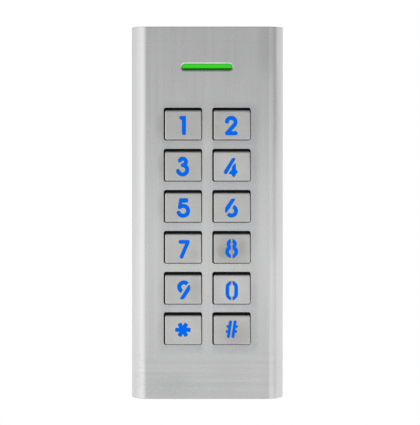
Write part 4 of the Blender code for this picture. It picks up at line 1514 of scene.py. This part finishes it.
def screw_in_depth(name, node_name, x, z, radius, under, top, shank, tip):
    """A pan-headed screw that points at the front, with a hexagon socket."""
    screw = Solid()
    profile = [(shank * 0.6, tip), (shank, tip + 0.5), (shank, under), (radius, under)]
    for s, c in quarter(5):
        profile.append((radius - 0.35 * (1 - c), top - 0.35 * (1 - s)))
    rings = screw.loft([screw.ring(circle(x, z, r, 36), d) for r, d in profile])
    screw.fill(rings[0])
    hexagon = [screw.ring(circle(x, z, radius * q, 6), d) for q, d in ((0.5, top), (0.45, top - 0.08), (0.45, top - 0.6))]
    screw.loft(hexagon)
    screw.fill(hexagon[-1])
    screw.fill(rings[-1], [hexagon[0]])
    obj = screw.done(name, SCREW)
    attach(obj, "base")
    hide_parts(node_name)


def security_screw():
    y = SECURITY_DEPTH - DEPTH
    screw = Solid()

    def ring(r, z, steps=36):
        return screw.ring_3d([(x, y + dy, z) for x, dy in circle(0.0, 0.0, r, steps)])

    profile = []
    for s, c in quarter(5):
        profile.append((2.3 - 0.3 * (1 - s), -70.7 + 0.3 * (1 - c)))
    profile += [(2.3, -69.85), (1.2, -69.85), (1.2, -64.5), (0.8, -64.0)]
    rings = screw.loft([ring(r, z) for r, z in profile])
    socket = screw.loft([ring(r, z, 6) for r, z in ((1.06, -70.7), (1.0, -70.62), (1.0, -70.15))])
    screw.fill(socket[-1], axes=(0, 1))
    screw.fill(rings[0], [socket[0]], axes=(0, 1))
    screw.fill(rings[-1], axes=(0, 1))
    obj = screw.done("case_screw", SCREW)
    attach(obj, "base")
    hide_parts("security_screw")


# ---------------------------------------------------------------- build

housing()
for name, x, z in key_centres():
    loops = character(name)
    key_cap(name, x, z, loops)
    key_legend(name, x, z, loops)
    mat_dome(name, x, z)
status_bar()
mat_sheet()
wall_plate()
rear_cover()
for n, (x, z) in enumerate(COVER_SCREWS, 1):
    screw_in_depth(f"back_screw_{n}", f"cover_screw_{n}", x, z, 2.1, 16.1, 17.3, 1.0, 6.0)
for n, (x, z) in enumerate(BOARD_SCREWS, 1):
    screw_in_depth(f"inner_screw_{n}", f"board_screw_{n}", x, z, 1.9, 9.95, 11.2, 0.8, 4.2)
security_screw()

FINISHES = {
    "circuit_board": BOARD,
    "status_led_1": LED,
    "status_led_2": LED,
    "controller_chip": CHIP,
    "lock_relay": CHIP,
    "buzzer": CHIP,
    "supply_capacitor": CAN,
    "cable_connector": WHITE,
    "antenna_coil": COPPER,
    "tamper_sensor": CHIP,
    "tamper_window": CLEAR,
    "cover_gasket": RUBBER,
}
for node_name, look in FINISHES.items():
    mesh = frame["nodes"][node_name].data
    mesh.materials.clear()
    mesh.materials.append(look)


# ---------------------------------------------------------------- stage and light
FLOOR_GLOW, FLOOR_POWER = 0.22, 1.12
WALL_POWER = 1.5
WALL_TURNS = (-165, -130, -95, -60, -30, 0, 30, 55, 90, 112, 126, 150)
WALLS = (
    (-10, (0.55, 0.51, 0.54, 0.47, 0.35, 0.33, 0.65, 0.80, 0.88, 0.66, 0.76, 0.60)),
    (-3, (0.60, 0.81, 1.07, 1.09, 0.85, 0.62, 0.89, 0.99, 0.86, 0.66, 0.82, 0.66)),
    (4, (0.48, 0.63, 0.87, 0.89, 0.67, 0.36, 0.25, 0.15, 0.08, 0.06, 0.50, 0.52)),
    (15, (0.50, 0.45, 0.25, 0.20, 0.10, 0.04, 0.07, 0.15, 0.20, 0.28, 0.40, 0.50)),
    (45, (0.60, 0.60, 0.50, 0.40, 0.30, 0.30, 0.30, 0.40, 0.50, 0.55, 0.60, 0.60)),
)


def stage():
    """A round pale floor under the reader, brightening outwards into the backdrop."""
    size, low, steps = 2.0, -0.62, 96
    mesh = bpy.data.meshes.new("floor")
    rim = [
        (
            size * math.cos(2 * math.pi * i / steps),
            size * math.sin(2 * math.pi * i / steps),
            low,
        )
        for i in range(steps)
    ]
    mesh.from_pydata(rim, [], [list(range(steps))])
    floor = bpy.data.objects.new("floor", mesh)
    bpy.context.scene.collection.objects.link(floor)
    mat, tree, shader = material("floor_paper", (0.78, 0.78, 0.78), 0.9)
    point = place(tree)
    paper = noise(tree, point, 3.0)
    put(
        tree,
        shader.inputs["Base Color"],
        shaded(tree, (0.78, 0.78, 0.78, 1.0), about(tree, paper, 0.004)),
    )
    away = node(tree, "VectorMath", {0: point}, operation="LENGTH").outputs["Value"]
    glow = remap(tree, away, 0.9, 2.0, FLOOR_GLOW, 1.0)
    grey = node(tree, "CombineColor", {"Red": glow, "Green": glow, "Blue": glow})
    put(tree, shader.inputs["Emission Color"], grey.outputs[0])
    shader.inputs["Emission Strength"].default_value = FLOOR_POWER
    mesh.materials.append(mat)


def world():
    """A white studio. Each row below is a band of its walls; degrees run to the right
    from straight behind the camera, and up from the horizon."""
    world = bpy.data.worlds.new("studio")
    bpy.context.scene.world = world
    world.use_nodes = True
    tree = world.node_tree
    back = tree.nodes["Background"]
    way = node(tree, "TexCoord").outputs["Generated"]
    x, y, z = node(tree, "SeparateXYZ", {"Vector": way}).outputs
    turn = calc(tree, "ARCTAN2", x, calc(tree, "MULTIPLY", y, -1.0))
    turn = calc(tree, "ADD", calc(tree, "DIVIDE", turn, 2 * math.pi), 0.5)
    rise = calc(tree, "ADD", calc(tree, "DIVIDE", calc(tree, "ARCSINE", z), math.pi), 0.5)

    def ramp(label, factor, stops, span):
        made = node(tree, "ValToRGB", {"Fac": factor}, name=label)
        made.color_ramp.interpolation = "LINEAR"
        elements = made.color_ramp.elements
        while len(elements) > 1:
            elements.remove(elements[-1])
        for i, (at, value) in enumerate(stops):
            where = at / span + 0.5
            element = elements[0] if i == 0 else elements.new(where)
            element.position = where
            element.color = (value, value, value, 1.0)
        return made.outputs[0]

    total = 0.0
    heights = [height for height, _ in WALLS]
    for k, (height, levels) in enumerate(WALLS):
        around = ramp(f"wall_{k}", turn, list(zip(WALL_TURNS, levels)), 360.0)
        band = ramp(
            f"band_{k}",
            rise,
            [(h, 1.0 if h == height else 0.0) for h in heights],
            180.0,
        )
        total = calc(tree, "ADD", total, calc(tree, "MULTIPLY", around, band))
    strength = calc(tree, "MULTIPLY", total, WALL_POWER)
    seen = node(tree, "LightPath").outputs["Is Camera Ray"]
    level = node(tree, "Mix", data_type="FLOAT")
    put(tree, level.inputs["Factor"], seen)
    put(tree, level.inputs["A"], strength)
    put(tree, level.inputs["B"], 1.0)
    put(tree, back.inputs["Strength"], level.outputs[0])
    back.inputs["Color"].default_value = (1.0, 1.0, 1.0, 1.0)


def softbox(name, at, aim, wide, tall, power, colour=(1.0, 1.0, 1.0)):
    data = bpy.data.lights.new(name, "AREA")
    data.shape = "RECTANGLE"
    data.size, data.size_y = wide, tall
    data.energy = power
    data.color = colour
    light = bpy.data.objects.new(name, data)
    bpy.context.scene.collection.objects.link(light)
    light.location = at
    light.rotation_mode = "QUATERNION"
    light.rotation_quaternion = (Vector(aim) - Vector(at)).to_track_quat("-Z", "Y")
    light.visible_camera = False
    return light


def camera():
    data = bpy.data.cameras.new("camera")
    data.sensor_width = 36.0
    data.lens = 312.1
    data.clip_start, data.clip_end = 0.05, 60.0
    cam = bpy.data.objects.new("camera", data)
    bpy.context.scene.collection.objects.link(cam)
    cam.location = (0.0020, -1.4225, 0.0310)
    yaw, pitch = math.radians(-0.0405), math.radians(1.261)
    ahead = Vector(
        (
            math.sin(yaw) * math.cos(pitch),
            math.cos(yaw) * math.cos(pitch),
            -math.sin(pitch),
        )
    )
    cam.rotation_mode = "QUATERNION"
    cam.rotation_quaternion = ahead.to_track_quat("-Z", "Y")
    bpy.context.scene.camera = cam


bpy.context.scene.view_settings.view_transform = "Standard"
bpy.context.scene.view_settings.look = "None"
stage()
world()
softbox("near_front", (0.0, -0.42, -0.030), (0.0, -0.02, -0.01), 0.24, 0.06, 0.018)
camera()
